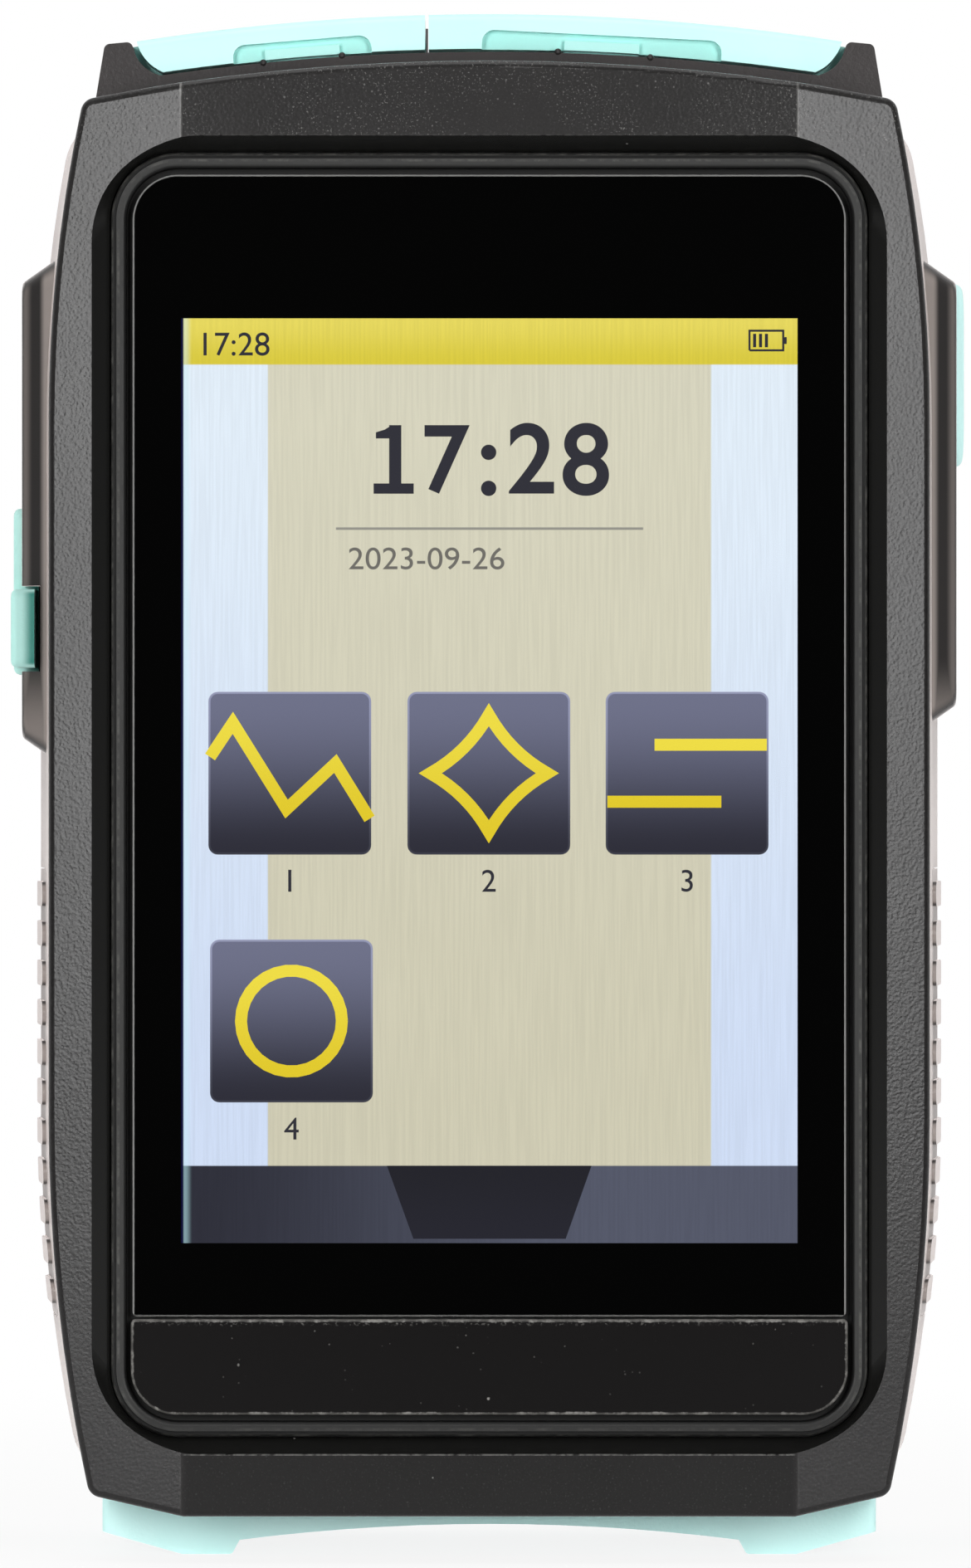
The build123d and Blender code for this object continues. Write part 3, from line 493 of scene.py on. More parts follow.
@dataclass(frozen=True)
class SoftPlastic(Finish):
    """Moulded plastic or rubber with fine spark-eroded texture, slight blotches and dust.

    Attributes:
        colour: Main colour.
        worn: Colour of the blotches.
        rough: Roughness.
        grain: Width of the fine texture, in metres.
        depth: Depth of the fine texture, in metres.
        dust: Share of dust specks.
        sheen: Weight of the velvety sheen of rubbery coats.
        glare: Colour of that sheen.
        gloss: Strength of its mirror-like share, where 0.5 is plain plastic.
        matt: How much rougher its front faces are.
    """

    colour: Colour
    worn: Colour
    rough: float
    grain: float = 0.25 * MM
    depth: float = 0.02 * MM
    dust: float = 0.02
    sheen: float = 0.0
    glare: Colour = WHITE
    gloss: float = 0.5
    matt: float = 0.0

    def fill(self, sheet: NodeSheet) -> None:
        """Fill the material's nodes.

        Args:
            sheet: The empty node sheet.
        """
        fine = sheet.noise(self.grain, 3.0, 0.6)
        blotch = sheet.noise(11 * MM, 4.0, 0.6)
        dust = sheet.specks(1.7 * MM, self.dust, 0.18 * MM)
        share = blotch.rise(0.35, 0.75) * 0.6 + dust * 0.3
        tone = self.shaded(sheet, sheet.blend(share, self.colour, self.worn))
        rough = self.rough - 0.06 + blotch * 0.12 + dust * 0.15
        if self.matt:
            rough = rough + self.front(sheet) * self.matt
        sheet.surface(Base_Color=tone, Roughness=rough, Specular_IOR_Level=self.gloss,
                      Sheen_Weight=self.sheen, Sheen_Roughness=0.3, Sheen_Tint=self.glare,
                      Normal=sheet.bump(fine, self.depth))

    @staticmethod
    def front(sheet: NodeSheet) -> Value:
        """Give 1 on faces towards the front and 0 elsewhere."""
        return (-sheet.split(sheet.normal())[1]).rise(0.5, 0.9)

    def shaded(self, sheet: NodeSheet, tone: Value) -> Value:
        """Give the colour with any painted light or shade; plain plastic has none."""
        return tone


@dataclass(frozen=True)
class RecessedPlastic(SoftPlastic):
    """Soft plastic whose front faces get a painted tone, painted shade or painted light, the
    further they lie along an axis.

    Attributes:
        deep: The painted tone of the far-lying front faces.
        axis: Number of the axis.
        near: Where the deeper colour starts, in metres.
        far: Where it is full, in metres.
    """

    deep: Colour = BLACK
    axis: int = 1
    near: float = 0.0
    far: float = 1.0

    def shaded(self, sheet: NodeSheet, tone: Value) -> Value:
        """Give the colour, with the painted tone along the axis."""
        # painted shade on the covers and the strap, painted light on the grips, on front faces
        # along the axis
        share = sheet.place()[self.axis].rise(self.near, self.far) * self.front(sheet)
        return sheet.blend(share, tone, self.deep)


@dataclass(frozen=True)
class GuardedPlastic(SoftPlastic):
    """Soft plastic whose side guards get painted light along both edges and at their lower ends, as
    rounded forms would catch it.

    Attributes:
        pale: Colour of the painted light.
        outer: Distance of the guards' outer edges from the middle, in metres.
        inner: Distance of their inner edges, in metres.
        foot: Height of their lower ends, in metres.
    """

    pale: Colour = WHITE
    outer: float = 0.0
    inner: float = 0.0
    foot: float = 0.0

    def shaded(self, sheet: NodeSheet, tone: Value) -> Value:
        """Give the colour, with painted light towards the guards' edges and lower ends.

        Args:
            sheet: The material's node sheet.
            tone: The plain colour.

        Returns:
            The shaded colour.
        """
        x, _, z = sheet.place()
        reach = abs(x)
        # painted light on the guards' outer rims, inner roots and lower ends
        rim = reach.rise(self.outer - 0.9 * MM, self.outer - 0.3 * MM) * 0.45
        root = reach.rise(self.inner + 0.55 * MM, self.inner)
        end = z.rise(self.foot + 6 * MM, self.foot) * 0.7
        return sheet.blend(rim.most(root).most(end) * self.front(sheet), tone, self.pale)


@dataclass(frozen=True)
class RubbedTrim(Finish):
    """Semi-gloss black strip with dust and rubbed edges.

    Attributes:
        colour: Main colour.
        worn: Colour of dust and rubbed edges.
        outline: The strip's outline, rounded at its lower corners alone.
    """

    colour: Colour
    worn: Colour
    outline: Outline

    def fill(self, sheet: NodeSheet) -> None:
        """Fill the material's nodes.

        Args:
            sheet: The empty node sheet.
        """
        _, _, z = sheet.place()
        high, corner = self.outline.high, self.outline.corner
        to_top = high - z
        to_edge = sheet.inset(replace(self.outline, high=high + 2 * corner)).least(to_top)
        scuffs = sheet.noise(0.9 * MM, 5.0, 0.75).rise(0.42, 0.68)
        chips = sheet.noise(0.3 * MM, 4.0, 0.7).rise(0.54, 0.64)
        chips = chips * to_top.rise(0.6 * MM, 0.25 * MM)
        edge = (to_edge + scuffs * -0.08 * MM).rise(0.24 * MM, 0.12 * MM) * (0.3 + 0.7 * scuffs)
        near_top = 0.4 + 0.6 * to_top.rise(4 * MM, 0.5 * MM)
        small = sheet.specks(0.6 * MM, 0.2, 0.13 * MM) * near_top * 0.4
        dust = small.most(sheet.specks(2.8 * MM, 0.12, 0.22 * MM))
        fine = sheet.noise(0.16 * MM, 3.0, 0.6)
        wear = (edge * 0.75).most(chips * 0.35).most(dust * 0.75)
        tone = sheet.blend(wear, self.colour, self.worn)
        sheet.surface(Base_Color=tone, Roughness=0.24 + wear * 0.4, Specular_IOR_Level=0.08,
                      Normal=sheet.bump(fine, 0.006 * MM))


@dataclass(frozen=True)
class BeadedSeal(Finish):
    """Black rubber ring with a groove beside its outer lip, painted shade in the groove, on its
    inner slope and along its lower run.

    Attributes:
        colour: Main colour.
        shade: Colour of the painted shade in the groove, on the inner slope and along the lower
            run.
        worn: Colour of the rubbed lip and crest.
        outline: The ring's outer outline.
    """

    colour: Colour
    shade: Colour
    worn: Colour
    outline: Outline

    def fill(self, sheet: NodeSheet) -> None:
        """Fill the material's nodes.

        Args:
            sheet: The empty node sheet.
        """
        inset = sheet.inset(self.outline)
        groove = inset.rise(0.2 * MM, 0.26 * MM) * inset.rise(0.42 * MM, 0.36 * MM)
        lip = inset.rise(0.2 * MM, 0.14 * MM)
        crest = inset.rise(0.42 * MM, 0.55 * MM) * inset.rise(0.75 * MM, 0.6 * MM)
        inner = inset.rise(0.95 * MM, 1.1 * MM)
        low = self.outline.low
        under = sheet.place()[2].rise(low + 4 * MM, low + MM) * 0.5
        patches = sheet.noise(1.2 * MM, 4.0, 0.7).rise(0.4, 0.7)
        fine = sheet.noise(0.2 * MM, 3.0, 0.6)
        tone = sheet.blend(patches * (lip * 0.35 + crest * 0.25), self.colour, self.worn)
        # painted shade in the groove, on the inner slope and along the lower run
        tone = sheet.blend((groove * 0.9).most(inner).most(under), tone, self.shade)
        rough = 0.46 + patches * 0.1 + groove * 0.2
        height = (1 - groove) * 0.9 + fine * 0.1
        sheet.surface(Base_Color=tone, Roughness=rough, Specular_IOR_Level=0.25,
                      Normal=sheet.bump(height, 0.1 * MM))


@dataclass(frozen=True)
class ClearGlass(Finish):
    """Polished cover glass with faint smears and ground edges.

    Attributes:
        index: Index of refraction.
        ground: Colour of the ground edges.
        outline: The sheet's outline, rounded at its upper corners alone.
        margin: Width of the dusty border beside the picture, in metres.
    """

    index: float
    ground: Colour
    outline: Outline
    margin: float = 3.6 * MM

    # Distances from the edge where its ground rim starts and is full
    RIM: ClassVar[Range] = mm(0.15, 0.11)

    def fill(self, sheet: NodeSheet) -> None:
        """Fill the material's nodes.

        Args:
            sheet: The empty node sheet.
        """
        low, corner = self.outline.low, self.outline.corner
        smear = sheet.noise(9 * MM, 3.0, 0.6).rise(0.45, 0.8)
        clear = sheet.shader(Base_Color=WHITE, Roughness=smear * 0.03, IOR=self.index,
                             Transmission_Weight=1.0)
        grit = sheet.noise(0.3 * MM, 3.0, 0.6)
        tone = sheet.blend(grit, self.ground, scaled(self.ground, 0.6))
        frosted = sheet.shader(Base_Color=tone, Roughness=0.45 + grit * 0.2)
        foot = (sheet.place()[2] - low).rise(*self.RIM) * 0.5
        edge = sheet.inset(replace(self.outline, low=low - 2 * corner)).rise(*self.RIM).most(foot)
        picture = replace(self.outline, half=self.outline.half - self.margin)
        lit = sheet.inset(picture).rise(0.0, 0.1 * MM)
        dust = sheet.specks(3.0 * MM, 0.05, 0.2 * MM) * (1 - lit)
        sockets = {0: edge.most(dust), 1: clear, 2: frosted}
        sheet.close(sheet.node("ShaderNodeMixShader", sockets=sockets))


@dataclass(frozen=True)
class Metal(Finish):
    """Bare or plated metal with fine tool marks and light tarnish.

    Attributes:
        colour: Colour of the metal.
        tarnish: Colour of the tarnish.
        rough: Roughness.
        stretch: How the tool marks are drawn out along x, y and z.
    """

    colour: Colour
    tarnish: Colour
    rough: float
    stretch: tuple[float, float, float] = (1.0, 1.0, 1.0)

    def fill(self, sheet: NodeSheet) -> None:
        """Fill the material's nodes.

        Args:
            sheet: The empty node sheet.
        """
        marks = sheet.noise(0.25 * MM, 4.0, 0.6, self.stretch)
        stain = sheet.noise(3.5 * MM, 4.0, 0.6).rise(0.45, 0.8)
        tone = sheet.blend(stain * 0.6, self.colour, self.tarnish)
        rough = self.rough + marks * 0.14 + stain * 0.08
        sheet.surface(Base_Color=tone, Roughness=rough, Metallic=1.0,
                      Normal=sheet.bump(marks, 0.008 * MM))


@dataclass(frozen=True)
class CircuitBoard(Finish):
    """Green solder mask with paler copper tracks under it and tinned pads.

    Attributes:
        mask: Colour of the bare mask.
        track: Colour over copper.
        pad: Colour of the pads.
    """

    mask: Colour
    track: Colour
    pad: Colour

    def fill(self, sheet: NodeSheet) -> None:
        """Fill the material's nodes.

        Args:
            sheet: The empty node sheet.
        """
        runs = sheet.cells(2.2 * MM, "DISTANCE_TO_EDGE").rise(0.1, 0.05)
        pads = sheet.cells(1.7 * MM).rise(0.2, 0.15)
        tone = sheet.blend(runs, self.mask, self.track)
        tone = sheet.blend(pads * 0.8, tone, self.pad)
        sheet.surface(Base_Color=tone, Roughness=0.42 - pads * 0.15, Metallic=pads * 0.7,
                      Normal=sheet.bump(runs + pads, 0.03 * MM))


@dataclass(frozen=True)
class WoundFibre(Finish):
    """Many turns of thin fibre, seen as fine round grooves.

    Attributes:
        colour: Colour of the coat.
        shade: Colour between the turns.
        middle: Height of the coil's middle, in metres.
        pitch: Width of one turn, in metres.
    """

    colour: Colour
    shade: Colour
    middle: float
    pitch: float

    def fill(self, sheet: NodeSheet) -> None:
        """Fill the material's nodes.

        Args:
            sheet: The empty node sheet.
        """
        x, y, z = sheet.place()
        rise = z - self.middle
        radius = sheet.math("SQRT", x * x + rise * rise)
        turns = sheet.math("SINE", (radius + y * 0.7) * (TURN / self.pitch)) * 0.5 + 0.5
        tone = sheet.blend(turns, self.shade, self.colour)
        sheet.surface(Base_Color=tone, Roughness=0.45 - turns * 0.1,
                      Normal=sheet.bump(turns, 0.1 * MM))


@dataclass(frozen=True)
class Glow(Finish):
    """One lit colour of the screen picture, from its top to its foot.

    Attributes:
        top: Colour at the top of the piece.
        foot: Colour at its foot.
    """

    top: Colour
    foot: Colour

    def fill(self, sheet: NodeSheet) -> None:
        """Fill the material's nodes."""
        share = sheet.split(sheet.node("ShaderNodeTexCoord", output="Generated"))[2]
        sheet.lit(sheet.blend(share.rise(0.0, 1.0), self.foot, self.top))


@dataclass(frozen=True)
class LitBackground(Finish):
    """The plain ground of the screen picture: status bar, page with pale sides, and foot bar.

    Attributes:
        left: Left edge of the picture, in metres.
        top: Upper edge of the picture, in metres.
        bar: Height of the status bar.
        side: Width of the left pale side.
        far_side: Distance of the right pale side from the left edge.
        page_foot: Distance of the foot bar from the upper edge.
        pixel: Pitch of the picture's dots.
    """

    left: float
    top: float
    bar: float
    side: float
    far_side: float
    page_foot: float
    pixel: float

    # Half the width of the soft edge between two areas
    SOFT: ClassVar[float] = 0.06 * MM
    # Width and drawing out of the faint upright streaks
    STREAK: ClassVar[float] = MM / 5.2
    STREAK_STRETCH: ClassVar[tuple[float, float, float]] = (1.0, 0.0, 0.02)

    def past(self, distance: Value, edge: float) -> Value:
        """Give 0 before an edge and 1 past it."""
        return distance.rise(edge - self.SOFT, edge + self.SOFT)

    def fill(self, sheet: NodeSheet) -> None:
        """Fill the material's nodes.

        Args:
            sheet: The empty node sheet.
        """
        x, _, z = sheet.place()
        along, down = x - self.left, self.top - z
        fall = (down / self.page_foot).rise(0.0, 1.0)
        pale = sheet.blend(fall, paint(232, 244, 255), paint(212, 226, 250))
        khaki = sheet.blend(fall, paint(220, 217, 195), paint(212, 208, 184))
        before_far = along.rise(self.far_side + self.SOFT, self.far_side - self.SOFT)
        page = sheet.blend(self.past(along, self.side) * before_far, pale, khaki)
        bar_fall = (down / self.bar).rise(0.0, 1.0)
        bar = sheet.blend(bar_fall, paint(236, 221, 98), paint(223, 207, 66))
        foot = sheet.blend(along.rise(0.0, 36 * MM), paint(47, 48, 59), paint(87, 91, 108))
        tone = sheet.blend(self.past(down, self.bar), bar, page)
        tone = sheet.blend(self.past(down, self.page_foot), tone, foot)
        streaks = sheet.noise(self.STREAK, 2.0, 0.6, self.STREAK_STRETCH)
        rate = TURN / self.pixel
        dots = sheet.math("SINE", x * rate) * sheet.math("SINE", z * rate)
        dim = dots.rise(-1.0, 1.0) * 0.04 + streaks.rise(0.35, 0.65) * 0.07
        tone = sheet.blend(dim, tone, BLACK)
        tone = sheet.blend(along.rise(0.9 * MM, 0.3 * MM) * 0.35, tone, paint(200, 246, 255))
        sheet.lit(sheet.blend(along.rise(0.26 * MM, 0.12 * MM), tone, paint(6, 8, 52)))


# Mesh pieces

class Workbench:
    """Makes mesh pieces and puts them on the model."""

    @staticmethod
    def add(name: str, form: bmesh.types.BMesh, finish: Finish, slot: Slot,
            smooth: bool = False) -> bpy.types.Object:
        """Turn a form into a piece that rides on the case.

        Args:
            name: Name of the piece.
            form: Its mesh, which is used up.
            finish: Its finish.
            slot: Not used.
            smooth: Whether its faces are shaded smooth.

        Returns:
            The piece.
        """
        mesh = bpy.data.meshes.new(name)
        bmesh.ops.recalc_face_normals(form, faces=form.faces)
        form.to_mesh(mesh)
        form.free()
        mesh.polygons.foreach_set("use_smooth", [smooth] * len(mesh.polygons))
        mesh.materials.append(finish.material())
        piece = bpy.data.objects.new(name, mesh)
        bpy.context.scene.collection.objects.link(piece)
        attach(piece, CASE_BODY)
        log.info("added %s, %d faces", name, len(mesh.polygons))
        return piece

    @staticmethod
    def prism(form: bmesh.types.BMesh, outline: Sequence[Point], front: float,
              back: float) -> None:
        """Add a flat plate that faces the viewer.

        Args:
            form: The mesh to add to.
            outline: Its outline as x and z, in metres.
            front: Its front face's y.
            back: Its back face's y.
        """
        near = [form.verts.new((x, front, z)) for x, z in outline]
        far = [form.verts.new((x, back, z)) for x, z in outline]
        form.faces.new(near)
        form.faces.new(list(reversed(far)))
        Workbench.wall(form, near, far)

    @staticmethod
    def wall(form: bmesh.types.BMesh, first: Sequence[bmesh.types.BMVert],
             second: Sequence[bmesh.types.BMVert]) -> None:
        """Join two rings of as many vertices by a band of faces.

        Args:
            form: The mesh to add to.
            first: One ring.
            second: The other ring.
        """
        for index, vertex in enumerate(first):
            after = (index + 1) % len(first)
            form.faces.new((vertex, first[after], second[after], second[index]))

    @staticmethod
    def turned(form: bmesh.types.BMesh, profile: Sequence[Point], place: Matrix,
               steps: int = 24) -> list[list[bmesh.types.BMVert]]:
        """Add a turned skin, open at both ends.

        Args:
            form: The mesh to add to.
            profile: Radius and height of each point of the section.
            place: Where the form's own upright axis goes.
            steps: Number of steps round.

        Returns:
            The ring of vertices at each point of the section.
        """
        angles = [TURN * step / steps for step in range(steps)]
        turns = [(math.cos(angle), math.sin(angle)) for angle in angles]
        rings = [[form.verts.new(place @ Vector((radius * cosine, radius * sine, height)))
                  for cosine, sine in turns] for radius, height in profile]
        for ring, after in zip(rings, rings[1:]):
            Workbench.wall(form, ring, after)
        return rings

    @staticmethod
    def rounded(left: float, low: float, width: float, height: float,
                radius: float) -> list[Point]:
        """Give the outline of a rounded rectangle.

        Args:
            left: Its left edge.
            low: Its lower edge.
            width: Its width.
            height: Its height.
            radius: Radius of its corners.

        Returns:
            The outline's points, anticlockwise.
        """
        steps = 6
        right, top = left + width - radius, low + height - radius
        centres = ((right, top), (left + radius, top), (left + radius, low + radius),
                   (right, low + radius))
        points = []
        for quarter, (x, z) in enumerate(centres):
            for step in range(steps + 1):
                angle = TURN / 4 * (quarter + step / steps)
                points.append((x + radius * math.cos(angle), z + radius * math.sin(angle)))
        return points

    @staticmethod
    def stroke(points: Sequence[Point], width: float) -> list[Point]:
        """Give the outline of a line of even width.

        Args:
            points: Points of the line.
            width: Its width.

        Returns:
            The outline's points.
        """
        sharpest = 0.35
        left: list[Point] = []
        right: list[Point] = []
        path = [Vector(point) for point in points]
        for index, here in enumerate(path):
            before = (here - path[index - 1]).normalized() if index > 0 else None
            after = (path[index + 1] - here).normalized() if index < len(path) - 1 else None
            along = ((before or after) + (after or before)).normalized()
            across = Vector((-along.y, along.x))
            reach = width / 2 / max(sharpest, along.dot(after or before))
            left.append(tuple(here + across * reach))
            right.append(tuple(here - across * reach))
        return left + right[::-1]


# The lit screen

@dataclass
class Screen:
    """Glass, trim, seal and the lit picture behind them.

    Places on the picture run along and down from its upper left corner, in metres.
    """

    # The glass and the panel behind it
    corner: float = 3.6 * MM
    ring: float = 1.7 * MM
    rim_side: float = 1.6 * MM
    rim_high: float = 2.5 * MM
    plate: float = 0.03 * MM
    pixel: float = 0.153 * MM
    # Areas of the picture
    bar_height: float = 3.67 * MM
    side_width: float = 6.89 * MM
    far_side: float = 42.1 * MM
    page_foot: float = 67.3 * MM
    # Middle, top and height of the small rows of digits
    status_row: Sizes = mm(4.4, 1.12, 1.85)
    date_row: Sizes = mm(19.5, 18.2, 1.75)
    date_stretch: float = 1.08
    # Charge symbol: lower left corner, size, line, and its cap and cells from that corner
    charge_place: Point = mm(45.15, 2.54)
    charge_size: Point = mm(2.68, 1.56)
    charge_line: float = 0.17 * MM
    charge_cap: Sizes = mm(2.76, 0.5, 0.2, 0.56, 0.05)
    charge_cell: Sizes = mm(0.28, 0.24, 0.25, 1.08, 0.04)
    charge_pitch: float = 0.47 * MM
    # Large clock: middle, top and height of each sign, and the serifs of its first digit
    clock_weight: float = 0.014
    clock_signs: tuple[tuple[str, Sizes], ...] = (
        ("1", mm(17.01, 8.48, 5.45)), ("7", mm(21.13, 8.48, 5.45)),
        (":", mm(24.43, 10.03, 4.08)), ("2", mm(27.83, 8.3, 5.62)), ("8", mm(32.15, 8.3, 5.8)))
    clock_foot: Points = (mm(15.29, 13.93), mm(18.48, 13.93), mm(18.48, 13.11),
                                     mm(15.29, 13.11))
    clock_flag: Points = (mm(15.47, 9.54), mm(17.0, 9.54), mm(17.0, 8.48),
                                     mm(16.75, 8.48), mm(16.18, 8.83), mm(15.47, 9.05))
    clock_rule: Points = (mm(12.3, 16.8), mm(36.7, 16.8), mm(36.7, 16.6),
                                     mm(12.3, 16.6))
    # Menu tiles
    tile_width: float = 12.93 * MM
    tile_radius: float = 0.75 * MM
    tile_edge: float = 0.16 * MM
    tile_places: Points = (mm(2.17, 29.66), mm(17.98, 29.66), mm(33.73, 29.66),
                                      mm(2.3, 49.34))
    label_drop: float = 1.2 * MM
    label_height: float = 1.75 * MM
    line_width: float = 0.95 * MM
    foot_tab: Points = (mm(16.35, 67.3), mm(18.45, 73.1), mm(30.55, 73.1),
                                   mm(32.6, 67.3))
    # Signs of the tiles, as lines through points in shares of the tile
    trace: Points = ((0.01, 0.6), (0.15, 0.81), (0.48, 0.28), (0.78, 0.56), (0.99, 0.22))
    star_corners: Points = ((0.5, 0.86), (0.14, 0.5), (0.5, 0.14), (0.86, 0.5))
    star_bow: float = 0.72
    bars: tuple[tuple[Point, Point], ...] = (((0.3, 0.675), (0.99, 0.675)),
                                             ((0.01, 0.325), (0.71, 0.325)))
    ring_radius: float = 0.31
    ink: Glow = Glow("screen_ink", paint(50, 50, 58), paint(50, 50, 58))
    yellow: Glow = Glow("screen_yellow", paint(240, 222, 70), paint(226, 202, 44))

    def __post_init__(self) -> None:
        """Find the picture's corner on the CAD panel."""
        low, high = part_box("display_panel")
        self.left = low.x + self.rim_side
        self.top = high.z - self.rim_high
        self.face = low.y

    def at(self, along: float, down: float) -> Point:
        """Turn a place on the picture into x and z."""
        return (self.left + along, self.top - down)

    def plates(self, name: str, outlines: Iterable[Sequence[Point]], finish: Finish,
               layer: int) -> None:
        """Add flat lit shapes as one piece.

        Args:
            name: Name of the piece.
            outlines: Outline of each shape, as x and z.
            finish: Its finish.
            layer: How many layers lie between it and the panel.
        """
        form = bmesh.new()
        back = self.face - self.plate * (layer + 0.3)
        for outline in outlines:
            Workbench.prism(form, outline, back - self.plate * 0.6, back)
        Workbench.add(name, form, finish, Slot.DISPLAY)

    @staticmethod
    def type_form(text: str, weight: float) -> bmesh.types.BMesh:
        """Set a row of digits in Blender's own type.

        Args:
            text: The digits.
            weight: How much bolder the strokes are, as a share of the type size.

        Returns:
            Their mesh, flat on x and y and thickened a little along z.
        """
        curve = bpy.data.curves.new("type", "FONT")
        curve.body = text
        curve.offset = weight
        curve.extrude = 0.01
        holder = bpy.data.objects.new("type", curve)
        bpy.context.scene.collection.objects.link(holder)
        bpy.context.view_layer.update()
        graph = bpy.context.evaluated_depsgraph_get()
        flat = bpy.data.meshes.new_from_object(holder.evaluated_get(graph))
        bpy.data.objects.remove(holder)
        bpy.data.curves.remove(curve)
        form = bmesh.new()
        form.from_mesh(flat)
        bpy.data.meshes.remove(flat)
        return form

    def digits(self, name: str, text: str, row: Sequence[float], finish: Finish,
               weight: float = 0.0, stretch: float = 1.0) -> None:
        """Add a row of digits, centred on a place.

        Args:
            name: Name of the piece.
            text: The digits.
            row: Its middle along, its top down and its height.
            finish: Its finish.
            weight: How much bolder its strokes are, as a share of the type size.
            stretch: How much wider than usual it is.
        """
        along, down, height = row
        form = self.type_form(text, weight)
        xs = [vertex.co.x for vertex in form.verts]
        ys = [vertex.co.y for vertex in form.verts]
        scale = height / (max(ys) - min(ys))
        middle, crown = (max(xs) + min(xs)) / 2, max(ys)
        x, z = self.at(along, down)
        for vertex in form.verts:
            depth = self.plate * (2.8 if vertex.co.z > 0 else 2.2)
            vertex.co = Vector((x + (vertex.co.x - middle) * scale * stretch, self.face - depth,
                                z - (crown - vertex.co.y) * scale))
        Workbench.add(name, form, finish, Slot.DISPLAY)

    def tile(self, index: int, place: Point) -> None:
        """Add one menu tile with its rim, number and sign.

        Args:
            index: Number of the tile.
            place: Its upper left corner on the picture.
        """
        along, down = place
        size, edge = self.tile_width, self.tile_edge
        x, z = self.at(along, down + size)
        rim = Workbench.rounded(x, z, size, size, self.tile_radius)
        inner = Workbench.rounded(x + edge, z + edge, size - 2 * edge, size - 2 * edge,
                                  self.tile_radius - edge)
        lines = [[(x + across * size, z + up * size) for across, up in line]
                 for line in self.sign(index)]
        strokes = [Workbench.stroke(line, self.line_width) for line in lines]
        rim_glow = Glow("tile_rim", paint(150, 154, 182), paint(62, 63, 74))
        face_glow = Glow("tile_face", paint(111, 114, 138), paint(46, 46, 57))
        self.plates(f"menu_tile_{index}_rim", [rim], rim_glow, 0)
        self.plates(f"menu_tile_{index}", [inner], face_glow, 1)
        self.plates(f"menu_sign_{index}", strokes, self.yellow, 2)
        row = (along + size / 2, down + size + self.label_drop, self.label_height)
        self.digits(f"menu_number_{index}", str(index), row, self.ink)

    def sign(self, index: int) -> list[Sequence[Point]]:
        """Give the lines of a tile's sign, in shares of the tile.

        Args:
            index: Number of the tile.

        Returns:
            The points of each line.
        """
        steps = 30
        angles = [math.radians(361 * step / steps) for step in range(steps + 1)]
        ring = [(0.5 + self.ring_radius * math.cos(angle), 0.5 + self.ring_radius * math.sin(angle))
                for angle in angles]
        return {1: [self.trace], 2: [self.star()], 3: list(self.bars), 4: [ring]}[index]

    def star(self) -> list[Point]:
        """Give a rhombus whose sides bow inwards.

        Returns:
            Points of its closed line, in shares of the tile.
        """
        points = []
        steps = 8
        corners = self.star_corners
        for start, end in zip(corners, corners[1:] + corners[:1]):
            middle = [0.5 + ((start[axis] + end[axis]) / 2 - 0.5) * self.star_bow
                      for axis in (0, 1)]
            for step in range(steps):
                share = step / steps
                left = 1 - share
                points.append(tuple(left ** 2 * start[axis] + 2 * share * left * middle[axis]
                                    + share ** 2 * end[axis] for axis in (0, 1)))
        return points + points[:2]

    def clock(self) -> None:
        """Add the large clock sign by sign, with its serifs, rule and date."""
        for index, (sign, row) in enumerate(self.clock_signs, 1):
            self.digits(f"clock_sign_{index}", sign, row, self.ink, self.clock_weight)
        serifs = [[self.at(*point) for point in outline]
                  for outline in (self.clock_foot, self.clock_flag)]
        self.plates("clock_serifs", serifs, self.ink, 2)
        grey_ink = Glow("screen_grey_ink", paint(112, 110, 104), paint(112, 110, 104))
        grey = Glow("screen_grey", paint(150, 149, 140), paint(150, 149, 140))
        self.plates("clock_rule", [[self.at(*point) for point in self.clock_rule]], grey, 1)
        self.digits("date_digits", "2023-09-26", self.date_row, grey_ink, 0.0, self.date_stretch)

    def battery(self) -> None:
        """Add the charge symbol at the right of the status bar."""
        width, height = self.charge_size
        x, z = self.at(*self.charge_place)
        box = [(x, z), (x + width, z), (x + width, z + height), (x, z + height), (x, z)]
        shapes = [Workbench.stroke(box, self.charge_line)]
        across, up, *size = self.charge_cap
        shapes.append(Workbench.rounded(x + across, z + up, *size))
        across, up, *size = self.charge_cell
        for step in range(3):
            shapes.append(Workbench.rounded(x + across + self.charge_pitch * step, z + up, *size))
        self.plates("charge_symbol", shapes, self.ink, 1)

    def dress(self) -> None:
        """Dress the screen's nodes."""
        trim = Outline.of("trim_plate", self.corner)
        glass = Outline.of("touch_glass", self.corner)
        seal = Outline.of("screen_seal", self.corner + self.ring)
        RubbedTrim("trim_black", paint(18, 17, 17), paint(140, 138, 134), trim).dress("trim_plate")
        ClearGlass("cover_glass", 1.5, paint(150, 150, 148), glass).dress("touch_glass")
        SoftPlastic("mask_black", paint(6, 6, 6), paint(9, 9, 9), 0.6,
                    dust=0.0).dress("screen_mask")
        BeadedSeal("seal_ring", paint(38, 38, 37), paint(5, 5, 5), paint(120, 119, 114),
                   seal).dress("screen_seal")
        SoftPlastic("seal_black", paint(34, 34, 33), paint(58, 57, 55), 0.5, grain=0.3 * MM,
                    depth=0.015 * MM, dust=0.05, sheen=0.15).dress("case_seal", "port_boot")
        LitBackground("display", self.left, self.top, self.bar_height, self.side_width,
                      self.far_side, self.page_foot, self.pixel).dress("display_panel")

    def build(self) -> None:
        """Dress the screen's nodes and add the picture."""
        self.dress()
        self.digits("status_time", "17:28", self.status_row, self.ink)
        self.battery()
        self.clock()
        for index, place in enumerate(self.tile_places, 1):
            self.tile(index, place)
        foot = [self.at(*point) for point in self.foot_tab]
        self.plates("foot_tab", [foot], Glow("foot_tab", paint(35, 35, 42), paint(38, 38, 47)), 1)


# The case

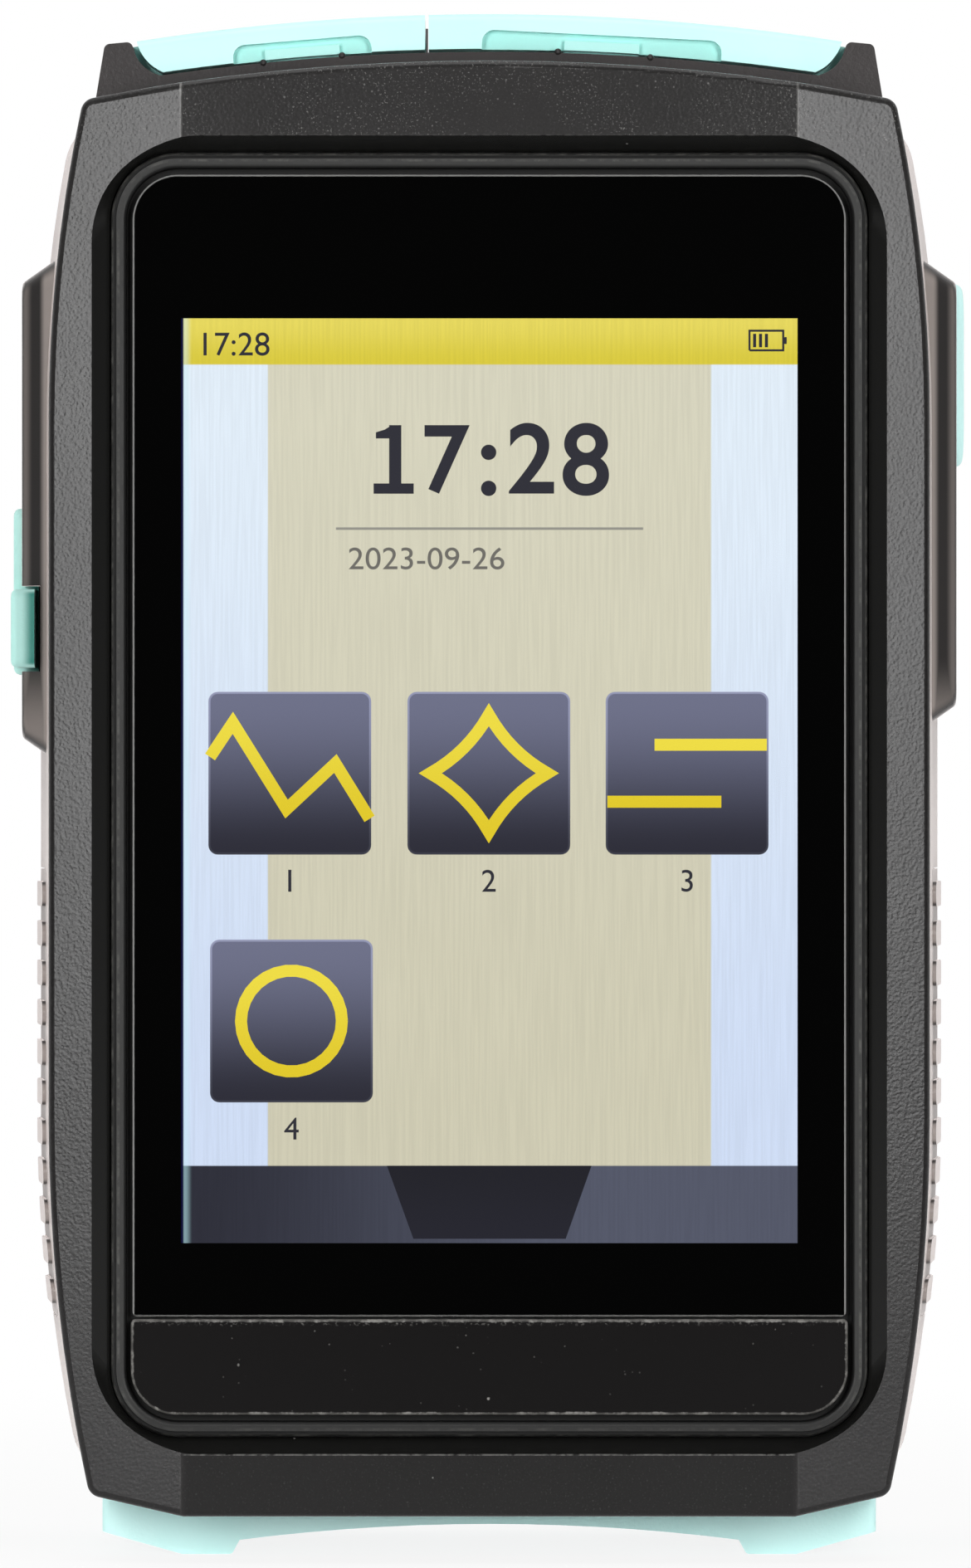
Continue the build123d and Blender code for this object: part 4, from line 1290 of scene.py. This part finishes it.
@dataclass
class Case:
    """Front bezel, rear housing, top frame and grips."""

    ridge: float = 24.4 * MM
    window_corner: float = 5.3 * MM
    border: float = 1.27 * MM
    grain: float = 0.25 * MM
    grain_depth: float = 0.018 * MM
    guard_width: float = 1.95 * MM
    guard_foot: float = 66 * MM
    blush: Colour = (1.0, 0.9, 0.87, 1.0)

    def build(self) -> None:
        """Dress the case's nodes."""
        low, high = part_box("screen_seal")
        seat = Outline.of("screen_seal", self.window_corner)
        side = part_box("rear_housing")[1].x
        GrainedBezel("bezel_black", paint(26, 25, 25), paint(16, 16, 15), paint(150, 149, 146),
                     self.grain, self.grain_depth, self.ridge, seat, high.y,
                     seat.rise + self.border).dress("front_bezel")
        # painted light on the rear housing's guards
        GuardedPlastic("case_black", paint(34, 31, 30), paint(44, 41, 40), 0.24, grain=0.35 * MM,
                       depth=0.012 * MM, dust=0.05, sheen=1.0, glare=self.blush, gloss=0.4,
                       matt=0.55, pale=paint(150, 141, 136), outer=side,
                       inner=side - self.guard_width, foot=self.guard_foot).dress("rear_housing")
        SoftPlastic("frame_black", paint(42, 38, 38), paint(54, 49, 48), 0.4, grain=0.35 * MM,
                    depth=0.03 * MM, dust=0.06, sheen=0.1, glare=self.blush,
                    gloss=0.25).dress("top_frame")
        # painted light: the grips' front-facing rib ends are pale like the glare on the side walls
        RecessedPlastic("grip_rubber", paint(70, 66, 64), paint(84, 79, 77), 0.3, grain=0.4 * MM,
                        depth=0.02 * MM, dust=0.05, sheen=1.0, glare=self.blush,
                        deep=paint(160, 149, 144), near=low.y,
                        far=high.y).dress("left_grip", "right_grip")


@dataclass
class Fittings:
    """Teal covers, key, port cover and bumper."""

    nub: float = 0.29 * MM
    nub_seat: float = 0.05 * MM
    nub_reach: float = 1.5 * MM
    nub_steps: int = 16
    sink: float = 0.16 * MM
    nubs: tuple[tuple[str, float], ...] = (
        ("left_top_cover", -18.1 * MM), ("left_top_cover", -11.8 * MM),
        ("right_top_cover", 5.5 * MM), ("right_top_cover", 12.9 * MM))
    # Section of a nub, as shares of its radius
    dome: Points = ((1.0, 0.0), (0.9, 0.5), (0.55, 0.85), (0.1, 1.0))
    web_height: float = 1.7 * MM
    web_sink: float = 0.3 * MM
    web_gap: float = 0.2
    web_depth: Range = mm(0.3, 1.3)

    @staticmethod
    def front_foot(node: str, along: float, reach: float) -> float:
        """Find the lower edge of a cover's front near a place.

        Args:
            node: The cover.
            along: The place's x.
            reach: How far to either side to look.

        Returns:
            The edge's height.
        """
        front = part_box(node)[0].y + MM
        points = [vertex.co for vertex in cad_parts[node].data.vertices]
        return min(point.z for point in points if abs(point.x - along) < reach and point.y < front)

    def latches(self, finish: Finish) -> None:
        """Add the small latch nubs on the strip below the covers' tabs.

        Args:
            finish: Their finish.
        """
        form = bmesh.new()
        profile = [(radius * self.nub, height * self.nub) for radius, height in self.dome]
        for node, along in self.nubs:
            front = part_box(node)[0].y + self.nub_seat
            edge = self.front_foot(node, along, self.nub_reach)
            foot = Vector((along, front, edge - self.sink))
            place = Matrix.Translation(foot) @ Matrix.Rotation(math.pi / 2, 4, "X")
            rings = Workbench.turned(form, profile, place, self.nub_steps)
            form.faces.new(rings[0])
            form.faces.new(rings[-1])
        Workbench.add("latch_nubs", form, finish, Slot.CASE, smooth=True)

    def web(self, finish: Finish) -> None:
        """Add the thin web of the top frame between the two covers.

        Args:
            finish: Its finish.
        """
        low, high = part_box("left_top_cover")
        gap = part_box("right_top_cover")[0].x - high.x
        left, right = high.x + gap * self.web_gap, high.x + gap - gap * self.web_gap
        foot = self.front_foot("left_top_cover", high.x, MM)
        under, over = foot - self.web_sink, foot + self.web_height
        outline = [(left, under), (right, under), (right, over), (left, over)]
        form = bmesh.new()
        front, back = self.web_depth
        Workbench.prism(form, outline, low.y + front, low.y + back)
        Workbench.add("cover_web", form, finish, Slot.CASE)

    def build(self) -> None:
        """Dress the teal nodes, and add the latch nubs and the web."""
        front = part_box("left_top_cover")[0].y
        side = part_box("port_cover")[0].x
        rubber = {"rough": 0.55, "grain": 0.3 * MM, "depth": 0.025 * MM, "dust": 0.04}
        # painted shade: the covers' recessed front faces are darker, as shade falls in the recess
        RecessedPlastic("teal_plastic", paint(200, 250, 246), paint(192, 247, 242), 0.42,
                        grain=0.35 * MM, depth=0.012 * MM, dust=0.02, deep=paint(166, 233, 225),
                        near=front + 0.15 * MM,
                        far=front + 0.4 * MM).dress("left_top_cover", "right_top_cover")
        # painted light: a paler copy of the teal, so the bumper under the bezel's shadow reads
        # bright
        SoftPlastic("teal_rubber", paint(214, 255, 252), paint(205, 252, 248),
                    **rubber).dress("bottom_bumper", "power_key")
        # painted shade: the strap's pull tab front is dark teal, as it lies in shade
        RecessedPlastic("teal_strap", paint(196, 246, 238), paint(184, 240, 230), **rubber,
                        deep=paint(40, 138, 124), axis=0, near=side + 0.75 * MM,
                        far=side + 1.75 * MM).dress("port_cover")
        black = SoftPlastic("nub_black", paint(34, 31, 31), paint(44, 40, 40), 0.5)
        self.latches(black)
        self.web(black)


@dataclass
class Fasteners:
    """Screws with a cross recess and a thread, in place of the plain ones of the CAD model."""

    pitch: float = 0.8 * MM
    neck: float = 0.3 * MM
    root: float = 0.84
    # Crest and foot of a turn of thread and the bare end, in pitches; the tip, in shank radii
    crest: float = 0.4
    foot: float = 0.8
    bare: float = 1.2
    tip_rise: float = 0.4
    tip_radius: float = 0.5
    arm_reach: float = 0.6
    arm_width: float = 0.2
    recess: float = 0.6
    recess_floor: float = 0.75
    # Section of the head, as shares of its radius and its height
    head_shape: Points = ((0.74, 0.0), (0.93, 0.12), (1.0, 0.4), (1.0, 1.0))
    nodes: tuple[str, ...] = ("case_screws", "top_frame_screws", "foot_screws", "board_screws",
                              "frame_screws", "charge_board_screws")

    @staticmethod
    def solids(node: str) -> list[list[Vector]]:
        """Part a CAD node's points into its separate solids.

        Args:
            node: Name of the node.

        Returns:
            The points of each solid.
        """
        form = bmesh.new()
        form.from_mesh(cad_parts[node].data)
        bmesh.ops.remove_doubles(form, verts=form.verts, dist=0.001 * MM)
        form.verts.index_update()
        known = [False] * len(form.verts)
        groups = []
        for start in form.verts:
            if known[start.index]:
                continue
            known[start.index] = True
            queue = [start]
            for vertex in queue:
                for edge in vertex.link_edges:
                    other = edge.other_vert(vertex)
                    if not known[other.index]:
                        known[other.index] = True
                        queue.append(other)
            groups.append([vertex.co.copy() for vertex in queue])
        form.free()
        return groups

    def screw(self, form: bmesh.types.BMesh, points: Sequence[Vector]) -> None:
        """Add one screw in the place of a plain one.

        Args:
            form: The mesh to add to.
            points: Points of the plain screw.
        """
        low = Vector([min(point[axis] for point in points) for axis in range(3)])
        high = Vector([max(point[axis] for point in points) for axis in range(3)])
        size = high - low
        axis = max(range(3), key=lambda index: size[index])
        middle = (low + high) / 2

        def apart(point: Vector) -> float:
            """Give a point's distance from the screw's axis.

            Args:
                point: The point.

            Returns:
                The distance.
            """
            gap = point - middle
            gap[axis] = 0.0
            return gap.length

        head_radius = max(apart(point) for point in points)
        head = [point[axis] for point in points if apart(point) > 0.95 * head_radius]
        outward = 1.0 if max(head) > high[axis] - 0.01 * MM else -1.0
        tip = [point for point in points
               if (point[axis] - middle[axis]) * outward < -0.4 * size[axis]]
        shank = max(apart(point) for point in tip)
        crown = middle.copy()
        crown[axis] = high[axis] if outward > 0 else low[axis]
        towards = Vector([outward if index == axis else 0.0 for index in range(3)])
        place = Matrix.Translation(crown) @ towards.to_track_quat("Z", "Y").to_matrix().to_4x4()
        self.turn(form, place, head_radius, max(head) - min(head), shank, size[axis])

    def turn(self, form: bmesh.types.BMesh, place: Matrix, head: float, height: float,
             shank: float, length: float) -> None:
        """Add a screw's skin, with its recess.

        Args:
            form: The mesh to add to.
            place: Where the middle of its crown goes, with its axis.
            head: Radius of the head.
            height: Height of the head.
            shank: Radius of the shank.
            length: Length of the whole screw.
        """
        core = shank * self.root
        profile = [(head * radius, -height * drop) for radius, drop in self.head_shape]
        profile.append((core, -height))
        turns = max(1, int((length - height - self.bare * self.pitch) / self.pitch))
        for turn in range(turns):
            top = -height - self.neck - turn * self.pitch
            profile += [(core, top), (shank, top - self.crest * self.pitch),
                        (core, top - self.foot * self.pitch)]
        profile += [(core, -length + shank * self.tip_rise), (shank * self.tip_radius, -length)]
        rings = Workbench.turned(form, profile, place)
        form.faces.new(rings[-1])
        self.cross(form, place, head, height, rings[0])

    def cross(self, form: bmesh.types.BMesh, place: Matrix, head: float, height: float,
              crown: Sequence[bmesh.types.BMVert]) -> None:
        """Close a screw's crown round its cross recess.

        Args:
            form: The mesh to add to.
            place: Where the middle of its crown goes, with its axis.
            head: Radius of the head.
            height: Height of the head.
            crown: The ring of vertices at the edge of the crown.
        """
        reach, half = head * self.arm_reach, head * self.arm_width / 2
        corner = [(reach, -half), (reach, half), (half, half), (half, reach), (-half, reach),
                  (-half, half)]
        outline = corner + [(-x, -y) for x, y in corner]
        share, depth = self.recess_floor, -height * self.recess
        mouth = [form.verts.new(place @ Vector((x, y, 0.0))) for x, y in outline]
        floor = [form.verts.new(place @ Vector((x * share, y * share, depth))) for x, y in outline]
        rim = []
        for loop in (crown, mouth):
            for index, vertex in enumerate(loop):
                after = loop[(index + 1) % len(loop)]
                rim.append(form.edges.get((vertex, after)) or form.edges.new((vertex, after)))
        bmesh.ops.triangle_fill(form, use_beauty=True, edges=rim)
        Workbench.wall(form, mouth, floor)
        form.faces.new(floor)

    def build(self) -> None:
        """Add the screws of each node."""
        finish = Metal("screw_steel", paint(120, 120, 122), paint(82, 80, 78), 0.3)
        for node in self.nodes:
            form = bmesh.new()
            for points in self.solids(node):
                self.screw(form, points)
            piece = Workbench.add(f"{node}_cut", form, finish, Slot.SCREW)
            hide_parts(node)
        finish.dress("hinge_pins")


@dataclass
class Insides:
    """Everything inside the case, and the ports under the top covers."""

    thread_pitch: float = 0.75 * MM
    thread_radius: float = 4.0 * MM
    thread_top: float = 0.6 * MM
    thread_start: float = 0.4
    thread_turns: float = 3.6
    thread_steps: int = 48
    # Section of the thread: height over the port in metres, and place in shares of the pitch
    thread_section: Points = ((-0.02 * MM, 0.38), (0.14 * MM, 0.0), (-0.02 * MM, -0.38))
    keyway: float = 2.1 * MM
    key_play: float = 0.15 * MM
    fibre_pitch: float = 0.9 * MM
    nickel: Metal = Metal("port_nickel", paint(214, 212, 206), paint(176, 172, 162), 0.16)

    def thread(self) -> None:
        """Add the thread round the reflectometer port, broken by its keyway."""
        low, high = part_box("otdr_port")
        middle = (low + high) / 2
        form = bmesh.new()
        steps, pitch = self.thread_steps, self.thread_pitch
        before: list[bmesh.types.BMVert] = []
        for step in range(int(self.thread_turns * steps) + 1):
            angle = TURN * step / steps
            height = high.z - self.thread_top - pitch * (self.thread_start + step / steps)
            turn = Vector((math.cos(angle), math.sin(angle), 0.0))
            if turn.y < 0 and abs(turn.x) * self.thread_radius < self.keyway / 2 + self.key_play:
                before = []
                continue
            here = [form.verts.new(Vector((middle.x, middle.y, height + up * pitch))
                                   + turn * (self.thread_radius + out))
                    for out, up in self.thread_section]
            if before:
                Workbench.wall(form, before, here)
            before = here
        Workbench.add("otdr_port_thread", form, self.nickel, Slot.PORT, smooth=True)

    def build(self) -> None:
        """Dress the inner nodes and add the port's thread."""
        low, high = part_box("fibre_coil")
        Metal("stamped_steel", paint(200, 200, 198), paint(150, 149, 146), 0.28,
              (1.0, 1.0, 0.1)).dress("lcd_module", "board_shields", "charge_socket")
        SoftPlastic("frame_grey", paint(120, 122, 124), paint(136, 137, 138),
                    0.5).dress("inner_frame")
        CircuitBoard("board_green", paint(22, 92, 52), paint(40, 124, 72),
                     paint(196, 190, 170)).dress("main_board", "charge_board", "key_board")
        SoftPlastic("flex_amber", paint(190, 128, 52), paint(168, 108, 40),
                    0.3).dress("display_flex")
        Metal("module_aluminium", paint(206, 208, 210), paint(176, 178, 180),
              0.38).dress("optical_module")
        SoftPlastic("tray_black", paint(38, 38, 38), paint(50, 50, 50),
                    0.5).dress("fibre_tray", "power_switch", "speaker")
        WoundFibre("fibre_yellow", paint(238, 208, 70), paint(160, 128, 30),
                   (low.z + high.z) / 2, self.fibre_pitch).dress("fibre_coil", "fibre_pigtail")
        self.nickel.dress("otdr_port", "power_meter_port", "fault_locator_port",
                          "power_meter_detector")
        Metal("laser_brass", paint(214, 180, 104), paint(170, 136, 72),
              0.22).dress("fault_locator_laser")
        SoftPlastic("battery_wrap", paint(60, 110, 178), paint(48, 92, 156),
                    0.35).dress("battery_pack")
        self.thread()


# The studio

@dataclass(frozen=True)
class Lamp:
    """A soft rectangular lamp.

    Attributes:
        name: Name of the lamp.
        place: Where it stands.
        aim: What it faces.
        size: Its width and height, in metres.
        level: Its brightness, where 1 is white.
    """

    name: str
    place: tuple[float, float, float]
    aim: tuple[float, float, float]
    size: Point
    level: float

    def add(self) -> None:
        """Put the lamp in the scene."""
        data = bpy.data.lights.new(self.name, "AREA")
        data.shape = "RECTANGLE"
        data.size, data.size_y = self.size
        data.energy = self.level * math.pi * self.size[0] * self.size[1]
        stand = bpy.data.objects.new(self.name, data)
        stand.location = self.place
        sight = Vector(self.aim) - Vector(self.place)
        stand.rotation_euler = sight.to_track_quat("-Z", "Y").to_euler()
        bpy.context.scene.collection.objects.link(stand)


@dataclass
class Studio:
    """Floor, lamps, surroundings and camera."""

    reach: float = 0.70
    picture_height: float = 0.12395
    aim_x: float = -0.3 * MM
    aim_z: float = 61.66 * MM
    clip: Range = (0.01, 20.0)
    # The floor: its near edge and far reach, and how white it looks near the object and away
    apron: float = 0.14
    floor_reach: float = 6.0
    floor_tone: float = 0.9
    floor_mottle: float = 0.02
    near_white: float = 0.86
    shadow_reach: Range = (0.05, 0.2)
    # The surroundings: brightness behind the camera, and where they turn bright ahead of it
    dusk: float = 0.04
    dawn: Range = (-0.4, 0.4)
    clear_ahead: Range = (0.0, 0.2)
    lamps: tuple[Lamp, ...] = (
        Lamp("left_box", (-0.17, -0.42, 0.12), (0.0, 0.0, 61.66 * MM), (0.11, 0.23), 14.5),
        Lamp("right_box", (0.17, -0.42, 0.13), (0.0, 0.0, 61.66 * MM), (0.11, 0.23), 14.5),
        Lamp("top_box", (0.0, -0.12, 0.7), (0.0, 0.0, 0.1), (0.5, 0.4), 2.4))

    def camera(self) -> None:
        """Add the level camera in front of the screen."""
        data = bpy.data.cameras.new("camera")
        data.sensor_width = 36.0
        data.lens = data.sensor_width * self.reach / self.picture_height
        data.clip_start, data.clip_end = self.clip
        stand = bpy.data.objects.new("camera", data)
        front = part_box("front_bezel")[0].y
        stand.location = (self.aim_x, front - self.reach, self.aim_z)
        stand.rotation_euler = (math.pi / 2, 0.0, 0.0)
        bpy.context.scene.collection.objects.link(stand)
        bpy.context.scene.camera = stand

    def floor_material(self) -> bpy.types.Material:
        """Make the floor's material, which looks white away from the object.

        Returns:
            The material.
        """
        made = bpy.data.materials.new("floor_pale")
        made.use_nodes = True
        sheet = NodeSheet(made.node_tree)
        distance = sheet.node("ShaderNodeVectorMath", {"operation": "LENGTH"},
                              {0: sheet.point()}, "Value")
        tone = sheet.noise(0.4, 3.0) * self.floor_mottle + self.floor_tone
        colour = sheet.node("ShaderNodeCombineColor", sockets={0: tone, 1: tone, 2: tone})
        matt = sheet.node("ShaderNodeBsdfDiffuse", sockets={"Color": colour})
        white = sheet.node("ShaderNodeEmission", sockets={"Color": WHITE, "Strength": 1.0})
        away = self.near_white + (1 - self.near_white) * distance.rise(*self.shadow_reach)
        share = away * sheet.ray("Camera").most(sheet.ray("Glossy")).most(sheet.ray("Transmission"))
        sheet.close(sheet.node("ShaderNodeMixShader", sockets={0: share, 1: matt, 2: white}))
        return made

    def floor(self) -> None:
        """Add the pale floor."""
        form = bmesh.new()
        far = self.floor_reach
        corners = ((-far, -self.apron), (far, -self.apron), (far, far), (-far, far))
        form.faces.new([form.verts.new((x, y, 0.0)) for x, y in corners])
        mesh = bpy.data.meshes.new("floor")
        form.to_mesh(mesh)
        form.free()
        mesh.materials.append(self.floor_material())
        ground = bpy.data.objects.new("floor", mesh)
        bpy.context.scene.collection.objects.link(ground)

    def surroundings(self) -> None:
        """Make the world white to the camera, and darker behind the camera for the object."""
        world = bpy.data.worlds.new("studio")
        world.use_nodes = True
        bpy.context.scene.world = world
        sheet = NodeSheet(world.node_tree)
        ahead = sheet.split(sheet.node("ShaderNodeTexCoord", output="Generated"))[1]
        seen = sheet.ray("Camera").most(sheet.ray("Transmission") * ahead.rise(*self.clear_ahead))
        level = (self.dusk + (1 - self.dusk) * ahead.rise(*self.dawn)).most(seen)
        ground = sheet.node("ShaderNodeBackground", sockets={"Color": WHITE, "Strength": level})
        sheet.close(ground, "ShaderNodeOutputWorld")

    def build(self) -> None:
        """Set up the whole studio."""
        self.camera()
        self.floor()
        self.surroundings()
        for lamp in self.lamps:
            lamp.add()
        bpy.context.scene.view_settings.view_transform = "Standard"


def main() -> None:
    """Build and dress every sub-assembly, then set up the studio."""
    logging.basicConfig(level=logging.INFO, format="%(name)s: %(message)s")
    for assembly in (Screen(), Case(), Fittings(), Fasteners(), Insides(), Studio()):
        assembly.build()
        log.info("finished %s", type(assembly).__name__)


if __name__ == "__main__":
    main()
